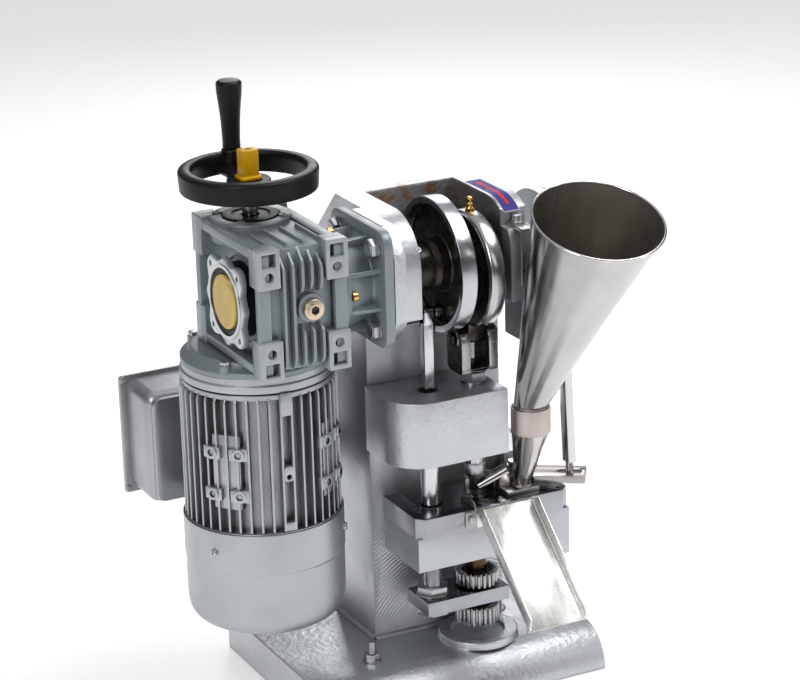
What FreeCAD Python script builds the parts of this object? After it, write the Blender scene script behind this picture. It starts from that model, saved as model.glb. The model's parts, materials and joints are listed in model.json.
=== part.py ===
import FreeCAD, Part
import math
import os
import re
import Sketcher

os.makedirs("parts", exist_ok=True)
doc = FreeCAD.newDocument("tablet_press")
V = FreeCAD.Vector

# Driving dimensions, mm and degrees.  Row frame: +X right along the main shaft, +Y back, +Z up.
# The origin is on the punch axis, at the underside of the base.
SIZES = dict(
    # main shaft and its crank
    shaft_z=418, throw=10, journal=16, journal_gap=0.05, bore_end=12.5, shaft_left=-238,
    sheave=38, strap_gap=0.08, strap_out=55, strap_half=8.7, eye_drop=65, eye_out=7.5, pin_hole=5,
    # frame casting
    col_left=-91, col_right=48, col_front=38, col_back=124, col_top=350,
    head_left=-95.5, head_top=473, head_low=381, arm_front=-37, arm_round=48, wall_front=74,
    arm_left_in=-70, arm_right_in=22, pad_left=-105.5, pad_half=55, pad_round=62.5,
    back_slope=40, bush_out=20,
    base_left=-188, base_right=108, base_back=170, base_high=39, base_nose=-19,
    table_left=-78, table_right=83, table_front=-35, table_top=184.4, plate_thick=20, table_low=132,
    die_out=11, die_hole=2.55, slot_half=12.5,
    guide_low=234.5, guide_top=298, guide_front=-36, guide_right=17, guide_left=-94, guide_round=38,
    # rods
    rod_at=-47.5, rod=9.5, bar_half=5, lift_stroke=12, roller_drop=46, roller=6.5,
    cup_out=63, cup_wall=6, cup_left=-41.8, cup_right=-26.5, cup_web=5, hub=25,
    lift_top=93, lift_thick=13.5, lift_left=-63.6, lift_right=23, lift_half=22, screw=8,
    ram=11, fork_half=19.3, fork_gap=9.3, crotch=315, fork_low=309, fork_top=352, nut_low=300,
    holder=10, punch=2.5, sleeve=10,
    gear_tip=21.3, gear_root=18.4, gear_teeth=24, gear_hub=14,
    # reducer, with the drive axis in front of its worm
    drive_x=-196, worm_y=50, red_half=42.5, red_front=60, red_back=84, red_high=60, hub_half=46,
    flange_face=90, flange_thick=9, wheel_tip=36, worm_tip=13.4,
    # motor, measured down from the shaft height
    motor=73, core=62, fins=44, shield=71, cowl=74.5, sheet=1.5, cowl_low=-330, cowl_top=-222,
    frame_top=-89, frame_low=-221, stator_in=38.2, rotor=37.6, motor_shaft=7,
    # handwheel
    wheel_out=63.5, wheel_in=50, wheel_low=84, wheel_high=105, handle_off=54, handle_low=105,
    # boot, hopper and rocker
    boot_x=48, boot_y=6, boot_pin=5, arm_low=189, arm_thick=7, spout_x=42, spout_y=-14,
    mouth=60, mouth_x=59, mouth_y=-130, mouth_z=477, mouth_tilt=20.5, neck=16, neck_x=42,
    neck_y=-34, neck_z=276, hopper_sheet=1.2, band=18.6,
    rock_y=-12, rock_z=343, rock_pin=6, rock_left=86, rock_right=94, link_y=-22, link=3.7,
    cam_left=66, cam_right=80, cam_out=54, track_in=25.5, track_out=46.5, track_at=36, track_deep=6,
    # chute
    chute_left=-18, chute_right=42, chute_long=129, chute_wall=13, chute_angle=41.2,
)

sheet = doc.addObject("Spreadsheet::Sheet", "Dims")
for row, (word, value) in enumerate(SIZES.items(), 1):
    sheet.set("A%d" % row, word)
    sheet.set("B%d" % row, str(value))
    sheet.setAlias("B%d" % row, word)
doc.recompute()

AXES = {
    "x": FreeCAD.Rotation(V(0, 1, 0), 90),
    "y": FreeCAD.Rotation(V(1, 0, 0), -90),
    "z": FreeCAD.Rotation(),
}
PARTS = []
counter = [0]
seen = {}


def size(word):
    """A driving dimension, for the few loops that need a plain number."""
    return float(sheet.get(word))


def ex(text):
    """Turn words of the sheet into an expression that reads the sheet."""
    def swap(found):
        word = found.group()
        return "Dims." + word if word in SIZES else word
    return re.sub(r"[a-z][a-z_0-9]*", swap, str(text))


def fresh(kind):
    counter[0] += 1
    return doc.addObject(kind, "piece_%03d" % counter[0])


def bind(obj, **props):
    for prop, text in props.items():
        obj.setExpression(prop, ex(text))


def put(obj, x, y, z):
    """Bind an object's position to the sheet."""
    for axis, text in zip("xyz", (x, y, z)):
        obj.setExpression("Placement.Base." + axis, ex(text))
    return obj


def box(x0, x1, y0, y1, z0, z1):
    """A block between two corners."""
    obj = fresh("Part::Box")
    bind(obj, Length="(%s)-(%s)" % (x1, x0), Width="(%s)-(%s)" % (y1, y0))
    bind(obj, Height="(%s)-(%s)" % (z1, z0))
    return put(obj, x0, y0, z0)


def cyl(axis, start, long, r, p="0", q="0"):
    """A cylinder along an axis from start; p and q are the other two coordinates in order."""
    obj = fresh("Part::Cylinder")
    bind(obj, Radius=r, Height=long)
    obj.Placement = FreeCAD.Placement(V(), AXES[axis])
    return put(obj, *spot(axis, start, p, q))


def cone(axis, start, long, r0, r1, p="0", q="0"):
    obj = fresh("Part::Cone")
    bind(obj, Radius1=r0, Radius2=r1, Height=long)
    obj.Placement = FreeCAD.Placement(V(), AXES[axis])
    return put(obj, *spot(axis, start, p, q))


def hexa(axis, start, long, across, p="0", q="0"):
    """A hexagonal prism by its size across flats."""
    obj = fresh("Part::Prism")
    obj.Polygon = 6
    bind(obj, Circumradius="(%s)/1.7320508" % across, Height=long)
    obj.Placement = FreeCAD.Placement(V(), AXES[axis])
    return put(obj, *spot(axis, start, p, q))


def ball(r, x, y, z):
    obj = fresh("Part::Sphere")
    bind(obj, Radius=r)
    return put(obj, x, y, z)


def spot(axis, start, p, q):
    return {"x": (start, p, q), "y": (p, start, q), "z": (p, q, start)}[axis]


def turned_block(degrees, axis, centre, item):
    """Turn a piece by a fixed angle about an axis through a centre given in mm."""
    obj = fresh("Part::Compound")
    obj.Links = [item]
    turn = FreeCAD.Rotation(V(*axis), degrees)
    middle = V(*centre)
    obj.Placement = FreeCAD.Placement(middle - turn.multVec(middle), turn)
    return obj


def fuse(*items):
    obj = fresh("Part::MultiFuse")
    obj.Shapes = list(items)
    return obj


def common(*items):
    obj = fresh("Part::MultiCommon")
    obj.Shapes = list(items)
    return obj


def cut(base, *tools):
    obj = fresh("Part::Cut")
    obj.Base = base
    obj.Tool = tools[0] if len(tools) == 1 else fuse(*tools)
    return obj


def part(label, shape, at=("0", "0", "0")):
    """Name a finished sub-part and bind its place in the row frame."""
    shape.Label = label
    put(shape, *at)
    PARTS.append(shape)
    return shape


def group(label, items, at=("0", "0", "0")):
    """Separate solids that share one sub-part, such as a set of equal screws."""
    obj = fresh("Part::Compound")
    obj.Links = list(items)
    return part(label, obj, at)


def turned(label, axis, points, at=("0", "0", "0")):
    """A turned sub-part: points are (along the axis, radius), closed, revolved once round."""
    body = doc.addObject("PartDesign::Body", "turned_" + label)
    flat = [f for f in body.Origin.OriginFeatures if f.Role == "XZ_Plane"][0]
    drawing = body.newObject("Sketcher::SketchObject", "outline_" + label)
    drawing.AttachmentSupport = [(flat, "")]
    drawing.MapMode = "FlatFace"
    pairs = [(a, r) if axis == "x" else (r, a) for a, r in points]
    values = [tuple(number(text) for text in pair) for pair in pairs]
    count = len(pairs)
    for i in range(count):
        here, there = values[i], values[(i + 1) % count]
        drawing.addGeometry(Part.LineSegment(V(here[0], here[1], 0), V(there[0], there[1], 0)))
    for i in range(count):
        drawing.addConstraint(Sketcher.Constraint("Coincident", i, 2, (i + 1) % count, 1))
    for i, (pair, value) in enumerate(zip(pairs, values)):
        for kind, line, text, now in zip(("DistanceX", "DistanceY"), (-2, -1), pair, value):
            if abs(now) < 1e-9:
                drawing.addConstraint(Sketcher.Constraint("PointOnObject", i, 1, line))
                continue
            index = drawing.addConstraint(Sketcher.Constraint(kind, -1, 1, i, 1, now))
            drawing.setExpression("Constraints[%d]" % index, ex(text))
    spin = body.newObject("PartDesign::Revolution", "spin_" + label)
    spin.Profile = drawing
    spin.ReferenceAxis = (drawing, ["H_Axis" if axis == "x" else "V_Axis"])
    spin.Angle = 360
    body.Tip = spin
    return part(label, body, at)


def number(text):
    """The value that an expression has now, to draw a sketch close to its constraints."""
    if text not in seen:
        sheet.set("D1", "=" + str(text))
        sheet.recompute()
        seen[text] = float(sheet.get("D1"))
    return seen[text]


def ring_of(count, make_one):
    """Repeat a piece round the local Z axis."""
    items = []
    for i in range(int(count)):
        items.append(turned_block(360.0 * i / count, (0, 0, 1), (0, 0, 0), make_one()))
    return items


# ---------------------------------------------------------------- base and frame

def build_base():
    slab = box("base_left", "base_right", "base_nose", "base_back", "0", "base_high")
    nose = cyl("x", "base_left", "base_right-base_left", "base_high", "base_nose", "0")
    below = box("base_left-1", "base_right+1", "base_nose-base_high-1", "base_back", "-base_high-1", "0")
    disc = cut(cyl("z", "base_high-1", "8", "38"), cyl("z", "base_high+4", "4", "25"))
    part("base_plate", fuse(cut(fuse(slab, nose), below), disc))
    studs = []
    for x, y in STUDS:
        studs.append(fuse(
            cyl("z", "base_high", "1.6", "8.5", x, y),
            hexa("z", "base_high+1.6", "6.5", "13", x, y),
            cyl("z", "base_high", "20", "4", x, y)))
    group("foot_studs", studs)


STUDS = [("-115", "-2"), ("86", "-2"), ("-115", "146"), ("86", "146")]


def build_column():
    post = box("col_left", "col_right", "col_front", "col_back", "base_high", "col_top")
    ledge = box("col_right-1", "table_right", "28", "100", "table_low", "207")
    web = box("col_left", "table_right", "col_front", "100", "table_low", "table_low+20")
    beads = []
    run = "col_right-col_left"
    deep = "col_back-col_front"
    for y in ("col_front", "col_back"):
        beads.append(cyl("x", "col_left", run, "4", y, "base_high"))
    for x in ("col_left", "col_right"):
        beads.append(cyl("y", "col_front", deep, "4", x, "base_high"))
    inside = box("col_left", "col_right", "col_front", "col_back", "base_high-9", "base_high+9")
    under = box("base_left", "base_right", "-50", "base_back", "base_high-9", "base_high")
    stop = cyl("z", "base_high-1", "10", "38.4")
    weld = cut(fuse(*beads), inside, under, stop)
    low = "table_top-plate_thick"
    block = box("table_left", "table_right", "table_front+2", "col_front+1", "table_low", low)
    deep = box("guide_right+7", "table_right", "table_front+2", "col_front+1", "118", "table_low+1")
    tools = rod_slot("table_low-1", low + "+1")
    tools.append(cyl("z", "table_low-1", "60", "sleeve+0.3"))
    part("frame_column", fuse(post, ledge, web, weld, cut(fuse(block, deep), *tools)))


def arm(x0, x1):
    """One arm of the head, flat on top and rounded at the front."""
    mid = "arm_front+arm_round"
    high = "head_top-arm_round"
    return [
        box(x0, x1, mid, "col_back", "head_low", "head_top"),
        box(x0, x1, "arm_front", mid, "head_low", high),
        cyl("x", x0, "(%s)-(%s)" % (x1, x0), "arm_round", mid, high),
        box(x0, x1, "col_front", "col_back", "col_top", "head_low+1"),
    ]


def build_head():
    solids = arm("head_left", "arm_left_in") + arm("arm_right_in", "col_right")
    solids.append(box("head_left", "col_right", "wall_front", "col_back", "col_top", "head_top"))
    square = box("pad_left", "head_left+1", "-pad_half", "pad_half", "shaft_z-pad_half", "shaft_z+pad_half")
    disc = cyl("x", "pad_left", "head_left-pad_left+1", "pad_round", "0", "shaft_z")
    solids.append(common(square, disc))
    corner = box("head_left-1", "col_right+1", "0", "back_slope*1.5", "-1", "back_slope*1.5")
    corner.Placement = FreeCAD.Placement(V(), FreeCAD.Rotation(V(1, 0, 0), 45))
    put(corner, "head_left-1", "col_back", "head_top-back_slope")
    tools = [corner]
    tools.append(box("arm_right_in-1", "col_right+1", "arm_front-2", "-17", "449", "head_top+1"))
    tools.append(cyl("x", "pad_left-1", "col_right-pad_left+2", "bush_out", "0", "shaft_z"))
    for y, z in FLANGE_HOLES:
        tools.append(cyl("x", "pad_left-1", "18", "4.3", y, "shaft_z+(%s)" % z))
    tools.append(cyl("x", "arm_right_in+12", "30", "2.6", "2", "head_low+9"))
    tools.append(cyl("z", "430", "30", "3", "36", "-24"))
    part("head_casting", cut(fuse(*solids), *tools))
    bushes = []
    for x0, x1 in (("pad_left", "arm_left_in"), ("arm_right_in", "col_right")):
        long = "(%s)-(%s)" % (x1, x0)
        outer = cyl("x", x0, long, "bush_out", "0", "shaft_z")
        bushes.append(cut(outer, cyl("x", x0, long, "journal+journal_gap", "0", "shaft_z")))
    group("bearing_bushes", bushes)


FLANGE_HOLES = [("38", "38"), ("38", "-38"), ("-38", "38"), ("-38", "-38")]


def build_guide():
    mid_x = "guide_left+guide_round"
    mid_y = "guide_front+guide_round"
    block = fuse(
        box(mid_x, "guide_right", "guide_front", "col_front", "guide_low", "guide_top"),
        box("guide_left", "guide_right", mid_y, "col_front", "guide_low", "guide_top"),
        cyl("z", "guide_low", "guide_top-guide_low", "guide_round", mid_x, mid_y))
    behind = box("guide_left-1", "guide_right+1", "col_front", "col_front+6", "guide_low-1", "guide_top+1")
    part("guide_block", cut(
        block, behind,
        cyl("z", "guide_low-1", "guide_top-guide_low+2", "rod+0.06", "rod_at"),
        cyl("z", "guide_low-1", "guide_top-guide_low+2", "ram+0.06")))


def rod_slot(low, high):
    tall = "(%s)-(%s)" % (high, low)
    return [
        cyl("z", low, tall, "slot_half", "rod_at", "0.5"),
        box("rod_at-slot_half", "rod_at+slot_half", "0.5", "col_front", low, high),
    ]


def build_table():
    low = "table_top-plate_thick"
    top = box("table_left", "table_right", "table_front", "col_front", low, "table_top")
    tools = rod_slot(low + "-1", "table_top+1")
    tools.append(box("col_right-1", "table_right+1", "28", "col_front+1", low + "-1", "table_top+1"))
    tools.append(cyl("z", low + "-1", "plate_thick+2", "die_out"))
    tools.append(cyl("z", "table_top-10", "11", "boot_pin", "boot_x", "boot_y"))
    for x in ("table_left", "table_right"):
        nick = box("-5.5", "5.5", "-5.5", "5.5", low + "-1", "table_top+1")
        nick.Placement = FreeCAD.Placement(V(), FreeCAD.Rotation(V(0, 0, 1), 45))
        tools.append(put(nick, x, "table_front-7.8", low + "-1"))
    tools.append(cyl("y", "table_front-1", "12", "2", "-24", "table_top-8"))
    part("table_plate", cut(top, *tools))
    ring = cyl("z", low, "plate_thick", "die_out")
    part("die", cut(ring, cyl("z", low + "-1", "plate_thick+2", "die_hole")))
    part("boot_pivot", fuse(
        cyl("z", "table_top-10", "31", "boot_pin", "boot_x", "boot_y"),
        cyl("z", "table_top+18.4", "4", "8", "boot_x", "boot_y")))


def build_brackets():
    tab = box("28", "44", "-47", "-19", "449", "452")
    drop = box("28", "44", "-47", "-44", "398", "452")
    part("front_bracket", cut(fuse(tab, drop), cyl("z", "448", "6", "3.3", "36", "-24")))
    tab_screw = fuse(
        cyl("z", "452", "1.5", "6.5", "36", "-24"),
        cyl("z", "453.5", "6", "5", "36", "-24"),
        cyl("z", "431", "23", "2.95", "36", "-24"))
    plate = box("col_right", "col_right+8", "-28", "24", "330", "head_low+27")
    hole = cyl("x", "col_right-1", "10", "journal+4", "0", "shaft_z")
    stud = fuse(
        cyl("x", "col_right+1", "rock_right-col_right+3", "rock_pin", "rock_y", "rock_z"),
        cyl("x", "rock_right+0.5", "4", "9.5", "rock_y", "rock_z"),
        cyl("x", "col_right+7", "rock_left-col_right-7.5", "9", "rock_y", "rock_z"))
    screw_hole = cyl("x", "col_right-1", "10", "2.6", "2", "head_low+9")
    part("rocker_bracket", fuse(cut(plate, hole, screw_hole), stud))
    side_screw = fuse(
        hexa("x", "col_right+8", "3.5", "8", "2", "head_low+9"),
        cyl("x", "col_right-10", "19", "2.55", "2", "head_low+9"))
    strip_screw = fuse(
        cyl("y", "table_front-4.5", "3", "3.6", "-24", "table_top-8"),
        cyl("y", "table_front-2", "12", "1.95", "-24", "table_top-8"))
    group("frame_screws", [tab_screw, side_screw, strip_screw])


def build_chute():
    wide = "(chute_right-chute_left)"
    floor = box("0", wide, "-chute_long", "0", "0", "sheet")
    left = box("0", "sheet", "-chute_long", "0", "0", "chute_wall")
    right = box(wide + "-sheet", wide, "-chute_long", "0", "0", "chute_wall")
    tray = fuse(floor, left, right)
    tray.Placement = FreeCAD.Placement(V(), FreeCAD.Rotation(V(1, 0, 0), size("chute_angle")))
    tray.setExpression("Placement.Rotation.Angle", ex("chute_angle"))
    put(tray, "chute_left", "table_front-1", "table_top-2")
    back = box("chute_left", "chute_right", "table_front-1.5", "table_front", "table_top-18", "table_top-1.5")
    strip = cut(
        fuse(
            box("-30", "chute_left", "table_front-1.5", "table_front", "table_top-16", "table_top-0.5"),
            box("-20", "-18.5", "table_front-1.5", "-8", "table_top+0.3", "table_top+9"),
            box("-20", "-18.5", "table_front-1.5", "table_front", "table_top-16", "table_top+9")),
        cyl("y", "table_front-3", "5", "2.2", "-24", "table_top-8"))
    part("chute", fuse(tray, back, strip))


# ---------------------------------------------------------------- main shaft line

def build_shaft():
    turned("main_shaft", "x", [
        ("shaft_left", "0"), ("shaft_left", "bore_end"), ("pad_left", "bore_end"),
        ("pad_left", "journal"), ("cam_left", "journal"), ("cam_left", "10"),
        ("cam_right", "10"), ("cam_right", "0")], ("0", "0", "shaft_z"))
    sheave = cyl("x", "-strap_half", "2*strap_half", "sheave", "0", "-throw")
    sides = [cyl("x", "-14", "5", "27", "0", "-throw"), cyl("x", "9", "5", "27", "0", "-throw")]
    key = cyl("x", "-16", "32", "journal")
    part("eccentric_sheave", cut(fuse(sheave, *sides), key), ("0", "0", "shaft_z"))
    inner = "cup_out-cup_wall"
    turned("lift_cam_cup", "x", [
        ("cup_left", "cup_out"), ("cup_right", "cup_out"), ("cup_right", "journal"),
        ("cup_left-26", "journal"), ("cup_left-26", "hub-4"), ("cup_left", "hub"),
        ("cup_right-cup_web", "hub"), ("cup_right-cup_web", inner), ("cup_left", inner)],
        ("0", "0", "shaft_z"))
    disc = cyl("x", "cam_left", "cam_right-cam_left", "cam_out")
    track = cut(
        cyl("x", "cam_right-track_deep", "track_deep+1", "track_out"),
        cyl("x", "cam_right-track_deep-1", "track_deep+3", "track_in"))
    holes = []
    for i in range(3):
        angle = math.radians(120 * i + 30)
        holes.append(cyl("x", "cam_left-1", "cam_right-cam_left+2", "3",
                         "18*%.4f" % math.cos(angle), "18*%.4f" % math.sin(angle)))
    bore = cyl("x", "cam_left-1", "cam_right-cam_left+2", "10")
    part("boot_cam", cut(disc, track, bore, *holes), ("0", "0", "shaft_z"))
    end_screw = fuse(cyl("x", "cam_right", "2.5", "14"), hexa("x", "cam_right+2.5", "3", "13"))
    set_screw = fuse(
        cyl("z", "hub-0.8", "4", "3.2", "cup_left-19.5"),
        hexa("z", "hub+3.2", "3", "6", "cup_left-19.5"))
    group("shaft_screws", [end_screw, set_screw], ("0", "0", "shaft_z"))


def build_strap():
    outer = fuse(
        cyl("x", "-strap_half", "2*strap_half", "strap_out"),
        box("-strap_half", "strap_half", "-11", "11", "-eye_drop+2", "-sheave-4"),
        cyl("x", "-strap_half", "2*strap_half", "eye_out", "0", "-eye_drop"),
        box("-strap_half", "strap_half", "-eye_out", "eye_out", "-eye_drop", "-eye_drop+8"))
    flat = box("-strap_half-1", "strap_half+1", "-20", "20", "strap_out-2", "strap_out+2")
    part("eccentric_strap", cut(
        outer, flat,
        cyl("x", "-strap_half-1", "2*strap_half+2", "sheave+strap_gap"),
        cyl("x", "-strap_half-1", "2*strap_half+2", "pin_hole", "0", "-eye_drop")),
        ("0", "0", "shaft_z-throw"))
    low = "strap_out-2"
    part("grease_nipple", fuse(
        hexa("z", low, "4", "9"), cyl("z", low + "+4", "3", "2.8"), cone("z", low + "+7", "3", "2", "3.1"),
        ball("2.9", "0", "0", low + "+11.2")), ("0", "0", "shaft_z-throw"))


def build_ram():
    cheeks = []
    for x0, x1 in (("-fork_half", "-fork_gap"), ("fork_gap", "fork_half")):
        cheeks.append(box(x0, x1, "-15", "15", "crotch-1", "fork_top-15"))
        cheeks.append(cyl("x", x0, "(%s)-(%s)" % (x1, x0), "15", "0", "fork_top-15"))
    foot = box("-fork_half", "fork_half", "-15", "15", "fork_low", "crotch")
    eye = "shaft_z-throw-eye_drop"
    hole = cyl("x", "-fork_half-1", "2*fork_half+2", "4.5", "0", eye)
    stem_hole = cyl("z", "fork_low-1", "crotch-fork_low+2", "screw")
    part("ram_fork", cut(fuse(foot, *cheeks), hole, stem_hole))
    pins = []
    for x0, x1, cap in (("-fork_half-1.5", "-fork_gap", "-fork_half-4.5"), ("fork_gap", "fork_half+1.5", "fork_half+1.5")):
        pins.append(fuse(
            cyl("x", x0, "(%s)-(%s)" % (x1, x0), "4.5", "0", eye),
            hexa("x", cap, "3", "11", "0", eye)))
    group("fork_pins", pins)
    part("ram_lock_nut", cut(
        hexa("z", "nut_low", "fork_low-nut_low", "24"),
        cyl("z", "nut_low-1", "fork_low-nut_low+2", "screw")))
    turned("upper_ram", "z", [
        ("crotch-0.5", "0"), ("crotch-0.5", "screw"), ("nut_low", "screw"), ("nut_low", "ram"),
        ("218", "ram"), ("218", "4"), ("206", "4"), ("206", "0")])
    turned("punch_holder", "z", [
        ("218", "4"), ("218", "holder"), ("207", "holder"), ("203", "holder-2"), ("203", "punch"),
        ("206", "punch"), ("206", "4")])
    turned("upper_punch", "z", [
        ("206", "0"), ("206", "punch"), ("table_top+0.4", "punch"), ("table_top+0.4", "0")])


def build_lifter():
    top = "shaft_z-roller_drop"
    bar = box("rod_at-bar_half", "rod_at+bar_half", "-bar_half", "bar_half", "290", top)
    crown = cyl("x", "rod_at-bar_half", "2*bar_half", "bar_half+2", "0", top)
    shank = cyl("z", "150", "140", "rod", "rod_at")
    thread = cyl("z", "lift_top-lift_thick-9", "150-lift_top+lift_thick+9", "screw+0.5", "rod_at")
    pin = fuse(
        cyl("x", "rod_at-bar_half-2", "2*bar_half+2+9", "3", "0", top),
        cyl("x", "rod_at-bar_half-4", "4.5", "5", "0", top))
    part("lifting_rod", fuse(bar, crown, shank, thread, pin))
    low = "lift_top-lift_thick"
    plate = box("lift_left", "lift_right", "-lift_half", "lift_half", low, "lift_top")
    detent = box("lift_right-1", "lift_right+0.6", "-6", "6", "58", low + "+3")
    part("lifting_plate", cut(
        fuse(plate, detent),
        cyl("z", low + "-1", "lift_thick+2", "screw+0.5", "rod_at"),
        cyl("z", low + "-1", "lift_thick+2", "screw")))
    nuts = [hexa("z", "lift_top", "9", "28", "rod_at"), hexa("z", low + "-6", "6", "28", "rod_at")]
    bores = [cyl("z", low + "-7", "lift_thick+20", "screw+0.5", "rod_at") for _ in nuts]
    group("lifting_nuts", [cut(nut, bore) for nut, bore in zip(nuts, bores)])
    turned("lower_ram", "z", [
        ("50", "0"), ("50", "screw"), ("108.5", "screw"), ("108.5", "sleeve"), ("150", "sleeve"),
        ("150", "punch"), ("table_top-lift_stroke", "punch"), ("table_top-lift_stroke", "0")])
    turned("cam_roller", "x", [
        ("cup_left+1.4", "3.06"), ("cup_left+1.4", "roller"), ("cup_right-cup_web-1.4", "roller"),
        ("cup_right-cup_web-1.4", "3.06")], ("0", "0", "shaft_z-roller_drop"))


def adjusting_gear(label, low, high):
    tall = "(%s)-(%s)" % (high, low)
    blank = cut(cyl("z", low, tall, "gear_tip"), cyl("z", low + "-1", tall + "+2", "screw+0.08"))
    gap = math.pi * size("gear_tip") / size("gear_teeth") * 0.5
    slots = []
    for i in range(int(size("gear_teeth"))):
        slot = box("gear_root", "gear_tip+2", -gap, gap, low + "-1", high + "+1")
        slots.append(turned_block(360.0 * (i + 0.5) / size("gear_teeth"), (0, 0, 1), (0, 0, 0), slot))
    part(label, cut(blank, *slots))


# ---------------------------------------------------------------- reducer

DRIVE = ("drive_x", "0", "shaft_z")


def build_reducer():
    core = box("-32", "32", "-red_front+3", "red_back-3", "-red_high+3", "red_high-3")
    solids = [core, cyl("x", "-hub_half", "2*hub_half", "42")]
    for x0, x1 in (("-red_half", "-30"), ("30", "red_half")):
        for y0, y1 in (("-red_front", "-red_front+24"), ("red_back-24", "red_back")):
            for z0, z1 in (("-red_high", "-red_high+24"), ("red_high-24", "red_high")):
                solids.append(box(x0, x1, y0, y1, z0, z1))
    solids.append(cyl("z", "-red_high", "2*red_high", "36", "0", "worm_y-4"))
    tools = [
        cyl("x", "-20", "40", "44"),
        cyl("x", "-hub_half-1", "2*hub_half+2", "23"),
        cyl("z", "-red_high-1", "2*red_high", "19", "0", "worm_y"),
    ]
    for y in ("-red_front+10", "red_back-10"):
        for z in ("-red_high+10", "red_high-10"):
            tools.append(cyl("x", "-red_half-1", "2*red_half+2", "4.25", y, z))
    tools.append(cyl("y", "-red_front-1", "24", "6.5"))
    solids.append(cyl("z", "red_high-1", "6", "26", "0", "worm_y"))
    tools.append(cyl("z", "red_high-1", "8", "8.4", "0", "worm_y"))
    part("reducer_housing", cut(fuse(*solids), *tools), DRIVE)
    ears = []
    for i in range(4):
        angle = math.radians(45 + 90 * i)
        ears.append(cyl("x", "-hub_half-4", "4", "9", "38*%.4f" % math.cos(angle), "38*%.4f" % math.sin(angle)))
    ring = fuse(cyl("x", "-hub_half-4", "4", "40"), *ears)
    part("side_cover", cut(ring, cyl("x", "-hub_half-5", "6", "25.5")), DRIVE)
    part("end_cap", fuse(
        cyl("x", "-hub_half-5", "5", "25"), cyl("x", "-hub_half", "2.5", "22.6")), DRIVE)
    part("oil_plug", cut(fuse(
        cyl("y", "-red_front-4", "4", "9.5"), cyl("y", "-red_front", "12", "6.4")),
        hexa("y", "-red_front-5", "4", "8")), DRIVE)
    square = box("flange_face-flange_thick", "flange_face", "-pad_half", "pad_half", "-pad_half", "pad_half")
    plate = common(square, cyl("x", "flange_face-flange_thick", "flange_thick", "pad_round"))
    neck = fuse(
        cyl("x", "hub_half", "6", "48"), cone("x", "hub_half+6", "30", "44", "36"),
        cyl("x", "hub_half+30", "flange_face-hub_half-30", "36"))
    tools = [cyl("x", "hub_half-1", "60", "23")]
    for y, z in FLANGE_HOLES:
        tools.append(cyl("x", "flange_face-flange_thick-1", "flange_thick+2", "5.5", y, z))
    part("output_flange", cut(fuse(plate, neck), *tools), DRIVE)
    bolts = []
    for y, z in FLANGE_HOLES:
        bolts.append(fuse(
            cyl("x", "flange_face-flange_thick-2", "2", "9.5", y, z),
            hexa("x", "flange_face-flange_thick-8.4", "6.4", "16", y, z),
            cyl("x", "flange_face-flange_thick-2", "24", "4.25", y, z)))
    group("flange_bolts", bolts, DRIVE)


def build_worm():
    wheel = cut(cyl("x", "-13", "26", "wheel_tip"), cyl("x", "-14", "28", "bore_end"))
    slots = []
    for i in range(20):
        slot = box("-14", "14", "-1.5", "1.5", "wheel_tip-3", "wheel_tip+2")
        slots.append(turned_block(18.0 * i, (1, 0, 0), (0, 0, 0), slot))
    sides = [
        cut(cyl("x", x, "26", "21"), cyl("x", x + "-1", "28", "bore_end")) for x in ("-38.5", "12.5")]
    part("worm_wheel", fuse(cut(wheel, *slots), *sides), DRIVE)
    worm = cyl("z", "-52", "104", "9", "0", "worm_y")
    rings = []
    for i in range(7):
        rings.append(cone("z", str(-19.5 + 6 * i), "1.5", "9", "worm_tip", "0", "worm_y"))
        rings.append(cone("z", str(-18 + 6 * i), "1.5", "worm_tip", "9", "0", "worm_y"))
    shaft = cyl("z", "52", "44", "7", "0", "worm_y")
    bore = cyl("z", "-53", "30", "motor_shaft", "0", "worm_y")
    part("worm", cut(fuse(worm, shaft, *rings), bore), DRIVE)
    rings = []
    for z in ("-48", "36"):
        outer = cyl("z", z, "12", "19", "0", "worm_y")
        rings.append(cut(outer, cyl("z", z + "-1", "14", "9.08", "0", "worm_y")))
    for z in ("-229", "-87"):
        outer = cyl("z", z, "12", "16", "0", "worm_y")
        rings.append(cut(outer, cyl("z", z + "-1", "14", "motor_shaft+0.06", "0", "worm_y")))
    for x in ("-38", "26"):
        outer = cyl("x", x, "12", "23")
        rings.append(cut(outer, cyl("x", x + "-1", "14", "21.08")))
    group("bearings", rings, DRIVE)


def build_handwheel():
    centre = ("drive_x", "worm_y", "shaft_z")
    rim = turned("rim", "z", [
        ("70", "7"), ("70", "15"), ("86", "15"), ("87", "wheel_in"), ("wheel_low", "wheel_in+3"),
        ("wheel_low", "wheel_out-4"), ("wheel_low+5", "wheel_out"), ("wheel_high-6", "wheel_out"),
        ("wheel_high", "wheel_out-5"), ("wheel_high", "wheel_in+4"), ("wheel_high-4", "wheel_in"),
        ("93", "wheel_in-1"), ("92", "15"), ("93", "15"), ("93", "7")])
    PARTS.remove(rim)
    post = fuse(box("-8", "8", "-6.5", "6.5", "93", "120"), cyl("z", "93", "5", "11"))
    part("wheel_post", cut(post, cyl("z", "112", "9", "3"), cyl("z", "92", "4.5", "7")), centre)
    stem = cyl("z", "wheel_high", "54", "4", "8", "handle_off")
    foot = cyl("z", "wheel_high-1", "4", "8", "8", "handle_off")
    part("handwheel", fuse(rim, stem, foot), centre)


def build_handle():
    low = "handle_low+3.4"
    turned("crank_handle", "z", [
        (low, "4.06"), (low, "8.5"), ("handle_low+8", "8"), ("handle_low+30", "8.5"),
        ("handle_low+52", "12"), ("handle_low+62", "11.5"), ("handle_low+66", "7"),
        ("handle_low+66", "0"), ("handle_low+56", "0"), ("handle_low+56", "4.06")],
        ("drive_x+8", "worm_y+handle_off", "shaft_z"))


# ---------------------------------------------------------------- motor

MOTOR = ("drive_x", "worm_y", "shaft_z")


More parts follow.
